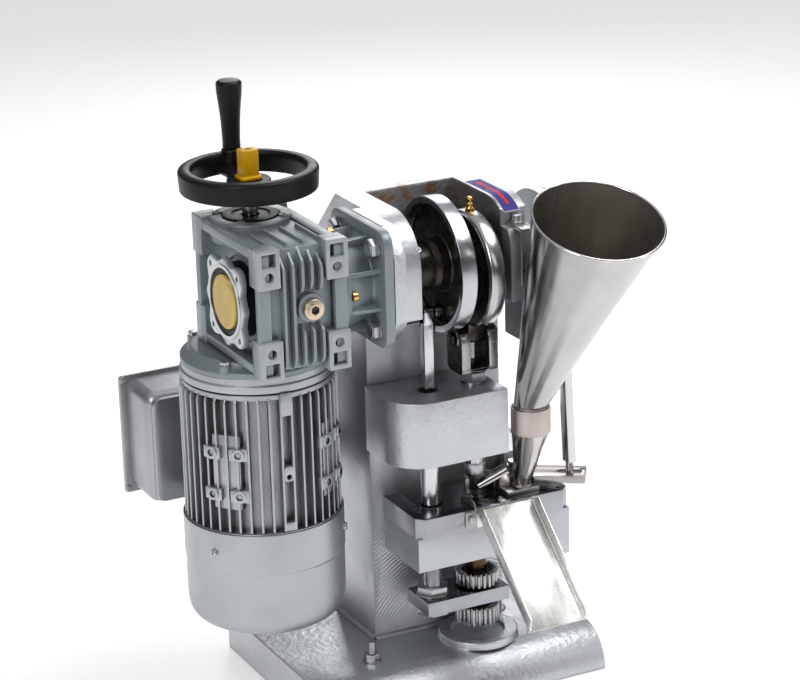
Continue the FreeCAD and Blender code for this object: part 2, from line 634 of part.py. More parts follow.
def build_motor():
    shield = cut(fuse(
        cyl("z", "-68", "8", "70"), cyl("z", "-73", "6", "66"),
        cyl("z", "frame_top", "-72-frame_top", "shield"), cyl("z", "frame_top-6", "6", "core-1")),
        cyl("z", "frame_top-7", "42", "16"))
    rear = cut(fuse(
        cyl("z", "frame_low-8", "7.8", "cowl-sheet"), cyl("z", "frame_low-0.3", "6.3", "core-1")),
        cyl("z", "frame_low-9", "20", "16"))
    group("end_shields", [shield, rear], MOTOR)
    barrel = cyl("z", "frame_low", "frame_top-frame_low", "core+2")
    fins = ring_of(size("fins"), lambda: box("core", "motor", "-0.9", "0.9", "frame_low", "frame_top"))
    pads = [box("-34", "34", "40", "73.5", "frame_low+4", "frame_top-36")]
    pads.append(box("-3", "25", "-74", "-50", "frame_low+2", "frame_low+16"))
    pads.append(box("-5", "25", "-74", "-50", "frame_low+50", "frame_low+64"))
    hollow = cyl("z", "frame_low-1", "frame_top-frame_low+2", "core-1")
    part("motor_frame", cut(fuse(barrel, *(fins + pads)), hollow), MOTOR)
    stator = cyl("z", "-200", "85", "core-1")
    part("stator", cut(stator, cyl("z", "-201", "87", "stator_in")), MOTOR)
    turned("rotor", "z", [
        ("-290", "0"), ("-290", "motor_shaft"), ("-198", "motor_shaft"), ("-198", "rotor"),
        ("-117", "rotor"), ("-117", "motor_shaft"), ("-23.5", "motor_shaft"), ("-23.5", "0")], MOTOR)
    blades = ring_of(7, lambda: box("12", "58", "-1.2", "1.2", "-282", "-254"))
    disc = fuse(cyl("z", "-286", "5", "58"), cyl("z", "-286", "32", "16"), *blades)
    part("fan", cut(disc, cyl("z", "-287", "34", "motor_shaft")), MOTOR)
    turned("fan_cowl", "z", [
        ("cowl_top", "cowl"), ("cowl_low+12", "cowl"), ("cowl_low+3", "cowl-8"),
        ("cowl_low", "cowl-24"), ("cowl_low", "9"), ("cowl_low+sheet", "9"),
        ("cowl_low+sheet", "cowl-24.5"), ("cowl_low+4.5", "cowl-9"),
        ("cowl_low+12.5", "cowl-sheet"), ("cowl_top", "cowl-sheet")], MOTOR)
    screws = []
    for i in range(3):
        screws.append(turned_block(120 * i - 128, (0, 0, 1), (0, 0, 0),
                                   cyl("x", "cowl", "2.5", "3.2", "0", "cowl_top-20")))
    for x in ("-84.5", "78.5"):
        for z in ("-232.5", "-121.5"):
            screws.append(cyl("y", "128", "2.2", "2.6", x, z))
    for y, z in (("0", "46.8"), ("0", "-46.8"), ("-46.8", "0"), ("46.8", "0")):
        screws.append(cyl("x", "hub_half+6", "6", "2.6", "(%s)-worm_y" % y, z))
    group("cover_screws", screws, MOTOR)


def build_terminal_box():
    left, right = "-81", "75"
    body = cut(
        box(left, right, "73.5", "126", "-232", "-122"),
        box(left + "+sheet", right + "-sheet", "75", "127", "-232+sheet", "-122-sheet"),
        cyl("x", right + "-3", "5", "8", "100", "-205"), cyl("z", "-233", "12", "cowl+0.4"))
    part("terminal_box", body, MOTOR)
    lid = fuse(
        box("-88", "82", "126", "128", "-236", "-118"),
        box("-82", "76", "128", "131", "-231", "-123"))
    part("terminal_lid", lid, MOTOR)
    part("cable_gland", cut(fuse(
        cyl("x", right + "-3.2", "8", "8", "100", "-205"), hexa("x", right, "6", "22", "100", "-205"),
        cyl("x", right + "+6", "12", "9", "100", "-205")),
        cyl("x", right + "-4", "30", "5.5", "100", "-205")), MOTOR)


# ---------------------------------------------------------------- boot, hopper and rocker

def loft(r_top, r_low, grow):
    """A slanted funnel between two circles."""
    low = fresh("Part::Circle")
    bind(low, Radius=r_low)
    put(low, "neck_x", "neck_y", "neck_z-%s" % grow)
    high = fresh("Part::Circle")
    bind(high, Radius=r_top)
    high.Placement = FreeCAD.Placement(V(), FreeCAD.Rotation(V(1, 0, 0), size("mouth_tilt")))
    high.setExpression("Placement.Rotation.Angle", ex("mouth_tilt"))
    put(high, "mouth_x", "mouth_y-%s*0.35" % grow, "mouth_z+%s" % grow)
    obj = fresh("Part::Loft")
    obj.Sections = [low, high]
    obj.Solid = True
    obj.Ruled = True
    return obj


def slant(x0, y0, z0, x1, y1, z1, r0, r1):
    """A straight taper between two points, by their plain sizes."""
    start, end = V(x0, y0, z0), V(x1, y1, z1)
    obj = fresh("Part::Cone")
    obj.Radius1, obj.Radius2, obj.Height = r0, r1, (end - start).Length
    obj.Placement = FreeCAD.Placement(start, FreeCAD.Rotation(V(0, 0, 1), end - start))
    return obj


def build_boot():
    skin = size("hopper_sheet")
    part("hopper", cut(loft("mouth", "neck", 0), loft("mouth-hopper_sheet", "neck-hopper_sheet", 0.01)))
    foot = (size("spout_x"), size("spout_y"), size("arm_low"))
    throat = (size("neck_x"), size("neck_y"), size("neck_z") - 0.3)
    wide, narrow = size("band"), 8.5
    sleeve_low = (size("neck_x"), size("neck_y") + 1, size("neck_z") - 26)
    outer = fuse(slant(*foot, *sleeve_low, narrow, wide), slant(*sleeve_low, *throat, wide, wide))
    deeper = (foot[0], foot[1] - 0.1, foot[2] - 0.5)
    higher = (throat[0], throat[1], throat[2] + 0.6)
    inner = fuse(
        slant(*deeper, *sleeve_low, narrow - skin, wide - skin),
        slant(*sleeve_low, *higher, wide - skin, wide - skin))
    floor = box("spout_x-20", "spout_x+20", "spout_y-20", "spout_y+20", "arm_low-10", "arm_low+0.1")
    part("hopper_spout", cut(outer, inner, floor))


def build_shoe():
    rise = "table_top+0.3"
    scoop = cut(
        fuse(
            cyl("z", rise, "15", "17", "8", "2"),
            box("8", "boot_x+8", "-24", "14", rise, "arm_low")),
        cyl("z", rise + "-1", "20", "13", "8", "2"),
        box("-14", "22", "-30", "2", rise + "-1", "table_top+30"),
        cyl("z", rise + "-1", "30", "boot_pin+0.06", "boot_x", "boot_y"),
        cyl("z", rise + "-1", "30", "7.3", "spout_x", "spout_y"))
    part("boot_shoe", scoop)
    centre = (size("boot_x"), size("boot_y"), 0)
    top = "arm_low+arm_thick"
    blank = fuse(
        box("boot_x-14", "boot_x+66", "boot_y-14", "boot_y+14", "arm_low", top),
        box("boot_x-14", "boot_x+18", "boot_y-24", "boot_y+14", "arm_low", top))
    slot = fuse(
        box("boot_x+43", "boot_x+58", "boot_y-4.6", "boot_y+4.6", "arm_low-1", top + "+1"),
        cyl("z", "arm_low-1", "arm_thick+2", "4.6", "boot_x+43", "boot_y"),
        cyl("z", "arm_low-1", "arm_thick+2", "4.6", "boot_x+58", "boot_y"))
    nick = box("boot_x+60", "boot_x+67", "boot_y+4", "boot_y+9", "arm_low-1", top + "+1")
    plate = turned_block(-LINK_ANGLE, (0, 0, 1), centre, cut(blank, slot, nick))
    collar = cyl("z", "arm_low", "table_top+18-arm_low", "9", "boot_x", "boot_y")
    part("boot_arm", cut(
        fuse(plate, collar),
        cyl("z", "arm_low-1", "30", "boot_pin+0.06", "boot_x", "boot_y"),
        cyl("z", "arm_low-1", "arm_thick+2", "12", "spout_x", "spout_y-1.5")))


LINK_ANGLE = 33.7


def build_rocker():
    pivot = (0, size("rock_y"), size("rock_z"))
    low = box("rock_left", "rock_right", "rock_y-6", "rock_y+6", "206", "rock_z")
    high = box("rock_left", "rock_right", "rock_y-6", "rock_y+6", "rock_z", "rock_z+79")
    low_turned = turned_block(-4.17, (1, 0, 0), pivot, low)
    high_turned = turned_block(17.7, (1, 0, 0), pivot, high)
    mid = "(rock_left+rock_right)/2"
    link = cyl("z", "arm_low+0.5", "22", "link", mid, "link_y")
    boss = cyl("x", "rock_left", "rock_right-rock_left", "10", "rock_y", "rock_z")
    head = cyl("x", "rock_left", "rock_right-rock_left", "7", "-track_at", "shaft_z")
    bore = cyl("x", "rock_left-1", "rock_right-rock_left+2", "rock_pin+0.06", "rock_y", "rock_z")
    roller = cyl("x", "cam_right-track_deep+0.8", "5", "5", "-track_at", "shaft_z")
    pin = cyl("x", "cam_right-track_deep+1", "rock_left-cam_right+track_deep", "2.5", "-track_at", "shaft_z")
    arms = fuse(low_turned, high_turned, link, boss, head, roller, pin)
    part("rocker_arm", cut(arms, bore))


build_base()
build_column()
build_head()
build_guide()
build_table()
build_brackets()
build_chute()
build_shaft()
build_strap()
build_ram()
build_lifter()
adjusting_gear("upper_gear", "lift_top+2", "lift_top+15")
adjusting_gear("lower_gear", "lift_top-37", "lift_top-20")
build_reducer()
build_worm()
build_handwheel()
build_handle()
build_motor()
build_terminal_box()
build_boot()
build_shoe()
build_rocker()

doc.recompute()
for obj in doc.Objects:
    if "Invalid" in obj.State or "Error" in obj.State:
        raise RuntimeError("broken object %s %s %s" % (obj.Name, obj.Label, obj.State))
for obj in PARTS:
    if obj.Shape.isNull() or not obj.Shape.isValid():
        raise RuntimeError("bad shape " + obj.Label)
    obj.Shape.exportStep("parts/%s.step" % obj.Label)
print(len(PARTS), "sub-parts")
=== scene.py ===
"""A bench tablet press: the visual model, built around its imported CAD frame."""

import json
import math

import bmesh
import bpy
from mathutils import Matrix, Vector


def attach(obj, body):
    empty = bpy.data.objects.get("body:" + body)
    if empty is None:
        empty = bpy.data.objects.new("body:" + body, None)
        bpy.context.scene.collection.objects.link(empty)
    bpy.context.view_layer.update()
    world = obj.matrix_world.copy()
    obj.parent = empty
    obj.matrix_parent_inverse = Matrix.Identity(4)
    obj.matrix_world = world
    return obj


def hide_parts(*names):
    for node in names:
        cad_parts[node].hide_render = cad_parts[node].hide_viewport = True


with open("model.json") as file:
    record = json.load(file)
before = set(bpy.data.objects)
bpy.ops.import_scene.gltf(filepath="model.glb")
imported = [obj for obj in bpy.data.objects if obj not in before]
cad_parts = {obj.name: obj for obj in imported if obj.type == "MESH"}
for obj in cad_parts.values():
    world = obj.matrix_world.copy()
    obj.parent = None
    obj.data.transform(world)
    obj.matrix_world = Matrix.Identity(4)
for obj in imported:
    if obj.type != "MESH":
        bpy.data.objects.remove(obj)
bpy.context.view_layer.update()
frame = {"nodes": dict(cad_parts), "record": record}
NODES = frame["nodes"]
BODY_OF = {node: body for body, group in frame["record"]["behaviour"]["bodies"].items() for node in group}
SLOT_OF = {s["node"]: s["material_slot"] for s in frame["record"]["subparts"]}
MM = 0.001


# ---------------------------------------------------------------- materials

class Finish:
    """A procedural material and the few node helpers that all of them share."""

    def __init__(self, name, color, metallic=0.0, roughness=0.4):
        self.material = bpy.data.materials.new(name)
        self.material.use_nodes = True
        self.tree = self.material.node_tree
        self.shader = self.tree.nodes["Principled BSDF"]
        self.place = self.tree.nodes.new("ShaderNodeTexCoord").outputs["Object"]
        self.color = self.constant(color)
        self.rough = None
        self.height = None
        self.set("Metallic", metallic)
        self.set("Roughness", roughness)

    def set(self, socket, value):
        self.shader.inputs[socket].default_value = value

    def node(self, kind, links=(), **properties):
        made = self.tree.nodes.new(kind)
        for key, value in properties.items():
            setattr(made, key, value)
        for key, value in links:
            if isinstance(value, bpy.types.NodeSocket):
                self.tree.links.new(value, made.inputs[key])
            else:
                made.inputs[key].default_value = value
        return made

    def constant(self, color):
        made = self.node("ShaderNodeRGB")
        made.outputs[0].default_value = (*color, 1)
        return made.outputs[0]

    def stretched(self, stretch):
        return self.node("ShaderNodeMapping", [(0, self.place), (3, stretch)]).outputs[0]

    def noise(self, scale, detail=4.0, rough=0.55, stretch=(1, 1, 1), warp=0.0):
        return self.node("ShaderNodeTexNoise", [
            ("Vector", self.stretched(stretch)), ("Scale", scale), ("Detail", detail),
            ("Roughness", rough), ("Distortion", warp)]).outputs["Fac"]

    def step(self, value, low, high, out_low=0.0, out_high=1.0):
        return self.node("ShaderNodeMapRange", [
            (0, value), (1, low), (2, high), (3, out_low), (4, out_high)]).outputs[0]

    def maths(self, operation, a, b=0.0):
        return self.node("ShaderNodeMath", [(0, a), (1, b)], operation=operation).outputs[0]

    def along(self, axis):
        return self.node("ShaderNodeSeparateXYZ", [(0, self.place)]).outputs[axis]

    def facing(self, axis):
        normal = self.node("ShaderNodeNewGeometry").outputs["Normal"]
        return self.node("ShaderNodeSeparateXYZ", [(0, normal)]).outputs[axis]

    def tint(self, mask, color):
        other = color if isinstance(color, bpy.types.NodeSocket) else self.constant(color)
        mixed = self.node("ShaderNodeMix", [(0, mask), (6, self.color), (7, other)], data_type="RGBA")
        self.color = mixed.outputs[2]
        return self

    def gloss(self, value):
        self.rough = value
        return self

    def grain(self, value, depth):
        links = [("Height", value), ("Distance", depth), ("Strength", 1.0)]
        if self.height:
            links.append(("Normal", self.height))
        self.height = self.node("ShaderNodeBump", links).outputs[0]
        return self

    def rim(self, radius=0.0012, low=0.02, high=0.12):
        """A mask that is 1 on outside and inside edges."""
        soft = self.node("ShaderNodeBevel", [("Radius", radius)], samples=4).outputs[0]
        hard = self.node("ShaderNodeNewGeometry").outputs["Normal"]
        dot = self.node("ShaderNodeVectorMath", [(0, soft), (1, hard)],
                        operation="DOT_PRODUCT").outputs["Value"]
        return self.step(self.maths("SUBTRACT", 1.0, dot), low, high)

    def hollow(self, reach, low=0.2, high=0.75):
        """A mask that is 1 in corners and recesses, where the materials paint shade."""
        shade = self.node("ShaderNodeAmbientOcclusion", [("Distance", reach)], samples=4).outputs["AO"]
        return self.step(shade, high, low)

    def inside(self, low, high, soft=0.0015):
        """A mask that is 1 inside a box of the row frame."""
        mask = None
        for axis in range(3):
            at = self.along(axis)
            for edge, sign in ((low[axis], 1), (high[axis], -1)):
                if edge is None:
                    continue
                past = self.step(self.maths("MULTIPLY", self.maths("SUBTRACT", at, edge), sign), -soft, soft)
                mask = past if mask is None else self.maths("MULTIPLY", mask, past)
        return mask

    def done(self):
        link = self.tree.links.new
        link(self.color, self.shader.inputs["Base Color"])
        if self.rough is not None:
            link(self.rough, self.shader.inputs["Roughness"])
        if self.height is not None:
            link(self.height, self.shader.inputs["Normal"])
        return self.material


def silver_paint(name, color=(0.56, 0.575, 0.60), peel=0.00035, corner_shade=(0.10, 0.095, 0.09), metallic=0.88):
    """Silver spray paint on cast iron: orange peel, cloudy tone, painted shade in corners, bright edges."""
    paint = Finish(name, color, metallic, 0.35)
    cloud = paint.noise(9, 3)
    paint.tint(paint.step(cloud, 0.4, 0.75, 0, 0.35), tuple(c * 0.72 for c in color))
    spots = paint.step(paint.noise(520, 3, 0.6), 0.56, 0.72, 0, 0.35)
    paint.tint(spots, tuple(c * 0.6 for c in color))
    # darker in corners and recesses, from ambient occlusion: painted shade
    paint.tint(paint.maths("MULTIPLY", paint.hollow(0.012), 0.65), corner_shade)
    paint.tint(paint.maths("MULTIPLY", paint.rim(0.001), 0.4), (0.78, 0.79, 0.80))
    paint.gloss(paint.step(paint.noise(30, 4), 0.3, 0.7, 0.30, 0.46))
    paint.grain(paint.noise(190, 3, 0.5), peel * 1.5)
    paint.grain(paint.noise(700, 2, 0.5), peel * 0.5)
    return paint


def drive_paint(name, color=(0.235, 0.275, 0.29)):
    """Grey-green paint on an aluminium die casting."""
    paint = Finish(name, color, 0.35, 0.4)
    paint.tint(paint.step(paint.noise(14, 4), 0.35, 0.8, 0, 0.4), tuple(c * 0.8 for c in color))
    # near-black in corners and between the fins: painted shade
    paint.tint(paint.maths("MULTIPLY", paint.hollow(0.008), 0.55), (0.035, 0.04, 0.045))
    paint.tint(paint.maths("MULTIPLY", paint.rim(0.0011), 0.55), (0.58, 0.60, 0.62))
    paint.gloss(paint.step(paint.noise(40, 4), 0.3, 0.7, 0.3, 0.46))
    paint.grain(paint.noise(420, 3, 0.5), 0.00016)
    return paint


def steel(name, color=(0.60, 0.60, 0.61), low=0.1, high=0.26, stretch=(1, 1, 1), scratch=0.00002, scale=60):
    """Bare metal with fine tool marks, smudges and bright edges."""
    metal = Finish(name, color, 1.0, (low + high) / 2)
    metal.tint(metal.step(metal.noise(24, 5), 0.4, 0.75, 0, 0.35), tuple(c * 0.62 for c in color))
    # darker in recesses: painted shade
    metal.tint(metal.maths("MULTIPLY", metal.hollow(0.004), 0.5), tuple(c * 0.18 for c in color))
    metal.tint(metal.maths("MULTIPLY", metal.rim(0.0006), 0.4), tuple(min(1.0, c * 1.4) for c in color))
    lines = metal.noise(scale, 6, 0.7, stretch)
    metal.gloss(metal.step(lines, 0.3, 0.7, low, high))
    metal.grain(lines, scratch)
    return metal


def oily(name, color=(0.045, 0.042, 0.04), oil=(0.03, 0.018, 0.006)):
    """Blackened steel with an oil film."""
    metal = Finish(name, color, 0.85, 0.3)
    metal.tint(metal.step(metal.noise(70, 4, 0.6), 0.45, 0.7, 0, 0.8), oil)
    metal.tint(metal.step(metal.noise(260, 2), 0.66, 0.74, 0, 0.5), (0.16, 0.15, 0.14))
    metal.tint(metal.maths("MULTIPLY", metal.rim(0.0007), 0.6), (0.34, 0.33, 0.32))
    metal.gloss(metal.step(metal.noise(90, 4), 0.35, 0.65, 0.16, 0.42))
    metal.grain(metal.noise(240, 3), 0.00012)
    return metal


def plastic(name, color, low=0.28, high=0.42, grain=0.00006):
    """Moulded plastic with a fine skin and rubbed edges."""
    skin = Finish(name, color, 0.0, 0.35)
    skin.set("Specular IOR Level", 0.22)
    skin.tint(skin.step(skin.noise(35, 4), 0.4, 0.75, 0, 0.4), tuple(c * 0.7 for c in color))
    skin.tint(skin.maths("MULTIPLY", skin.rim(0.001), 0.25), tuple(min(1.0, c * 1.8 + 0.05) for c in color))
    skin.gloss(skin.step(skin.noise(60, 4), 0.3, 0.7, low, high))
    skin.grain(skin.noise(1400, 2), grain)
    return skin


CAST = silver_paint("cast_silver_paint").done()
LUG_PAINT = drive_paint("lug_paint", (0.36, 0.39, 0.40)).done()
LOOKS = {
    "silver_casting": CAST,
    "drive_casting": drive_paint("drive_grey_paint").done(),
    "motor_silver": silver_paint("motor_silver_paint", (0.44, 0.455, 0.48), 0.00015).done(),
    "box_paint": silver_paint("box_silver_paint", (0.42, 0.43, 0.45), 0.0001).done(),
    "polished_steel": steel("polished_steel").done(),
    "dark_steel": oily("oiled_dark_steel").done(),
    "gear_steel": steel("cut_gear_steel", (0.42, 0.42, 0.43), 0.18, 0.4, scale=160, scratch=0.00005).done(),
    "stainless_sheet": steel("bright_stainless", (0.66, 0.645, 0.63), 0.08, 0.24, (1, 1, 0.08),
                             0.00001, 240).done(),
    "zinc_steel": steel("zinc_plated_steel", (0.48, 0.485, 0.50), 0.24, 0.42).done(),
    "brass_parts": steel("bright_brass", (0.66, 0.42, 0.13), 0.16, 0.32).done(),
    "bronze_parts": steel("turned_bronze", (0.16, 0.09, 0.05), 0.26, 0.45).done(),
    "black_plastic": plastic("black_moulding", (0.005, 0.005, 0.006), 0.34, 0.46).done(),
    "yellow_plastic": plastic("yellow_moulding", (0.62, 0.33, 0.005), 0.3, 0.45).done(),
    "bearing_steel": steel("ground_bearing_steel", (0.5, 0.5, 0.51), 0.1, 0.22).done(),
    "iron_core": silver_paint("varnished_core", (0.10, 0.09, 0.085), 0.0002).done(),
}


CAP_YELLOW = plastic("cap_yellow", (0.60, 0.43, 0.14), 0.32, 0.48).done()
CUP_RIM = steel("turned_cup_rim", (0.52, 0.53, 0.56), 0.14, 0.26, scale=90).done()
CUP_OIL = oily("cup_oil_film").done()
STRAP_SHINE = steel("strap_polish", (0.50, 0.50, 0.52), 0.14, 0.27, scale=70, scratch=0.00003).done()
HOPPER_SHINE = steel("hopper_polish", (0.50, 0.485, 0.485), 0.12, 0.25, (1, 1, 0.05), 0.00001, 160).done()
# the cone's inside is a darker, browner copy of the hopper steel: painted shade
SHADED_HOPPER_INSIDE = steel("hopper_inside", (0.40, 0.375, 0.34), 0.3, 0.42, (1, 1, 0.06), 0.00001, 120).done()
SATIN = steel("satin_stainless", (0.42, 0.40, 0.385), 0.24, 0.4, scale=110, scratch=0.00003).done()
BAND = steel("satin_band", (0.52, 0.46, 0.43), 0.34, 0.5, scale=90, scratch=0.00004).done()
CHUTE_STEEL = steel("chute_stainless", (0.80, 0.79, 0.77), 0.22, 0.36, (1, 0.2, 0.2), 0.00001, 200).done()
SATIN_POLISH = steel("spun_stainless", (0.55, 0.535, 0.52), 0.12, 0.24, scale=80, scratch=0.00002).done()
PLUG_BRASS = steel("pale_brass_plug", (0.62, 0.52, 0.38), 0.22, 0.36).done()
WELD = steel("weld_bead", (0.36, 0.33, 0.29), 0.25, 0.5, scale=400, scratch=0.0002).done()
BROWN = oily("brown_oiled_bush", (0.10, 0.055, 0.03)).done()
LABEL_EDGE = plastic("label_edge", (0.45, 0.45, 0.5), 0.5, 0.6).done()
LABEL_BLUE = plastic("label_blue", (0.045, 0.035, 0.22), 0.5, 0.6).done()
LABEL_RED = plastic("label_red", (0.60, 0.015, 0.02), 0.5, 0.6).done()


# ---------------------------------------------------------------- mesh helpers

def head_paint():
    """Silver outside, rough dark cast iron with rust inside the opening between the arms."""
    paint = silver_paint("head_paint")
    opening = paint.inside((-0.0703, -0.02, 0.34), (0.0223, 0.0745, 0.4724))
    rough = paint.noise(160, 5, 0.7)
    paint.tint(opening, (0.055, 0.052, 0.05))
    paint.tint(paint.maths("MULTIPLY", opening, paint.step(rough, 0.5, 0.66, 0, 0.75)), (0.30, 0.29, 0.27))
    edge = paint.inside((-0.0703, 0.03, 0.440), (0.0223, 0.09, 0.476), 0.006)
    stain = paint.maths("MULTIPLY", edge, paint.step(paint.noise(70, 4, 0.6), 0.5, 0.62, 0, 0.85))
    paint.tint(stain, (0.22, 0.10, 0.035))
    paint.grain(paint.maths("MULTIPLY", opening, rough), 0.0016)
    return paint.done()


def column_paint():
    """Silver paint over a milled front, whose cutter arcs still show."""
    paint = silver_paint("column_paint", (0.50, 0.515, 0.54), 0.0002)
    rings = paint.node("ShaderNodeTexWave", [
        ("Vector", paint.stretched((1, 1, 1))), ("Scale", 90.0), ("Distortion", 1.2), ("Detail", 2.0)],
        wave_type="RINGS", rings_direction="Y").outputs["Fac"]
    front = paint.inside((-0.0915, 0.030, 0.045), (0.0485, 0.0395, 0.16), 0.006)
    paint.grain(paint.maths("MULTIPLY", front, rings), 0.0004)
    return paint.done()


def table_steel():
    """A polished top painted dark, a painted reflection, and lighter satin sides."""
    metal = steel("table_ground_steel", (0.38, 0.39, 0.42), 0.28, 0.42, scratch=0.00001, scale=220)
    up = metal.step(metal.facing(2), 0.6, 0.9)
    # up-facing faces tinted dark bluish grey: painted reflection in the polished top
    metal.tint(metal.maths("MULTIPLY", up, 0.92), (0.17, 0.175, 0.185))
    smear = metal.step(metal.noise(45, 4, 0.6), 0.5, 0.7, 0.14, 0.32)
    mixed = metal.node("ShaderNodeMix", [(0, up), (2, metal.rough), (3, smear)], data_type="FLOAT").outputs[0]
    metal.gloss(mixed)
    return metal.done()


def sharp_edges(bm, degrees=30):
    limit = math.radians(degrees)
    return [e for e in bm.edges if len(e.link_faces) == 2 and e.calc_face_angle(0) > limit]


def round_edges(bm, width, segments=2, degrees=30):
    edges = sharp_edges(bm, degrees)
    if width and edges:
        bmesh.ops.bevel(bm, geom=edges, offset=width, segments=segments, profile=0.5,
                        affect="EDGES", clamp_overlap=True)


def finish_piece(name, bm, materials, body, replaces=(), smooth=32):
    mesh = bpy.data.meshes.new(name)
    bm.to_mesh(mesh)
    bm.free()
    for material in materials if isinstance(materials, (list, tuple)) else [materials]:
        mesh.materials.append(material)
    mesh.shade_smooth()
    mesh.set_sharp_from_angle(angle=math.radians(smooth))
    piece = bpy.data.objects.new(name, mesh)
    bpy.context.scene.collection.objects.link(piece)
    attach(piece, body)
    if replaces:
        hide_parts(*replaces)
    return piece


def softened(node, width=0.0007, material=None, segments=2, degrees=30):
    """The CAD node's own shape with rounded edges."""
    bm = bmesh.new()
    bm.from_mesh(NODES[node].data)
    bmesh.ops.remove_doubles(bm, verts=bm.verts, dist=2e-6)
    bmesh.ops.dissolve_limit(bm, angle_limit=math.radians(0.4), verts=bm.verts, edges=bm.edges)
    round_edges(bm, width, segments, degrees)
    for face in bm.faces:
        face.material_index = 0
    return finish_piece("soft_" + node, bm, material or LOOKS[SLOT_OF[node]], BODY_OF[node],
                        [node])


# ---------------------------------------------------------------- solids in millimetres

FRAMES = {
    "x": Matrix(((0, 0, 1), (1, 0, 0), (0, 1, 0))),
    "y": Matrix(((0, 1, 0), (0, 0, 1), (1, 0, 0))),
    "z": Matrix.Identity(3),
}


def axis_frame(axis, at=(0, 0, 0)):
    """Local z along the axis; local x and y along the next two axes."""
    turn = FRAMES[axis] if isinstance(axis, str) else Vector((0, 0, 1)).rotation_difference(
        Vector(axis)).to_matrix()
    return Matrix.Translation(at) @ turn.to_4x4()


def fillet(points, closed=False, steps=4):
    """Rounds the corners of a 2-D path: each point is (a, b) or (a, b, radius)."""
    path = []
    count = len(points)
    for i, point in enumerate(points):
        here = Vector(point[:2])
        radius = point[2] if len(point) > 2 else 0
        if not radius or (not closed and i in (0, count - 1)):
            path.append(here)
            continue
        before, after = Vector(points[i - 1][:2]), Vector(points[(i + 1) % count][:2])
        back, ahead = (before - here), (after - here)
        reach = min(radius, back.length * 0.49, ahead.length * 0.49)
        start, end = here + back.normalized() * reach, here + ahead.normalized() * reach
        for k in range(steps + 1):
            t = k / steps
            path.append(start * (1 - t) ** 2 + here * 2 * t * (1 - t) + end * t * t)
    return path


def rectangle(a0, a1, b0, b1, radius=0.0):
    return fillet([(a0, b0, radius), (a1, b0, radius), (a1, b1, radius), (a0, b1, radius)], True, 6)


def circle(a, b, radius, count=32):
    return [Vector((a + radius * math.cos(2 * math.pi * i / count),
                    b + radius * math.sin(2 * math.pi * i / count))) for i in range(count)]


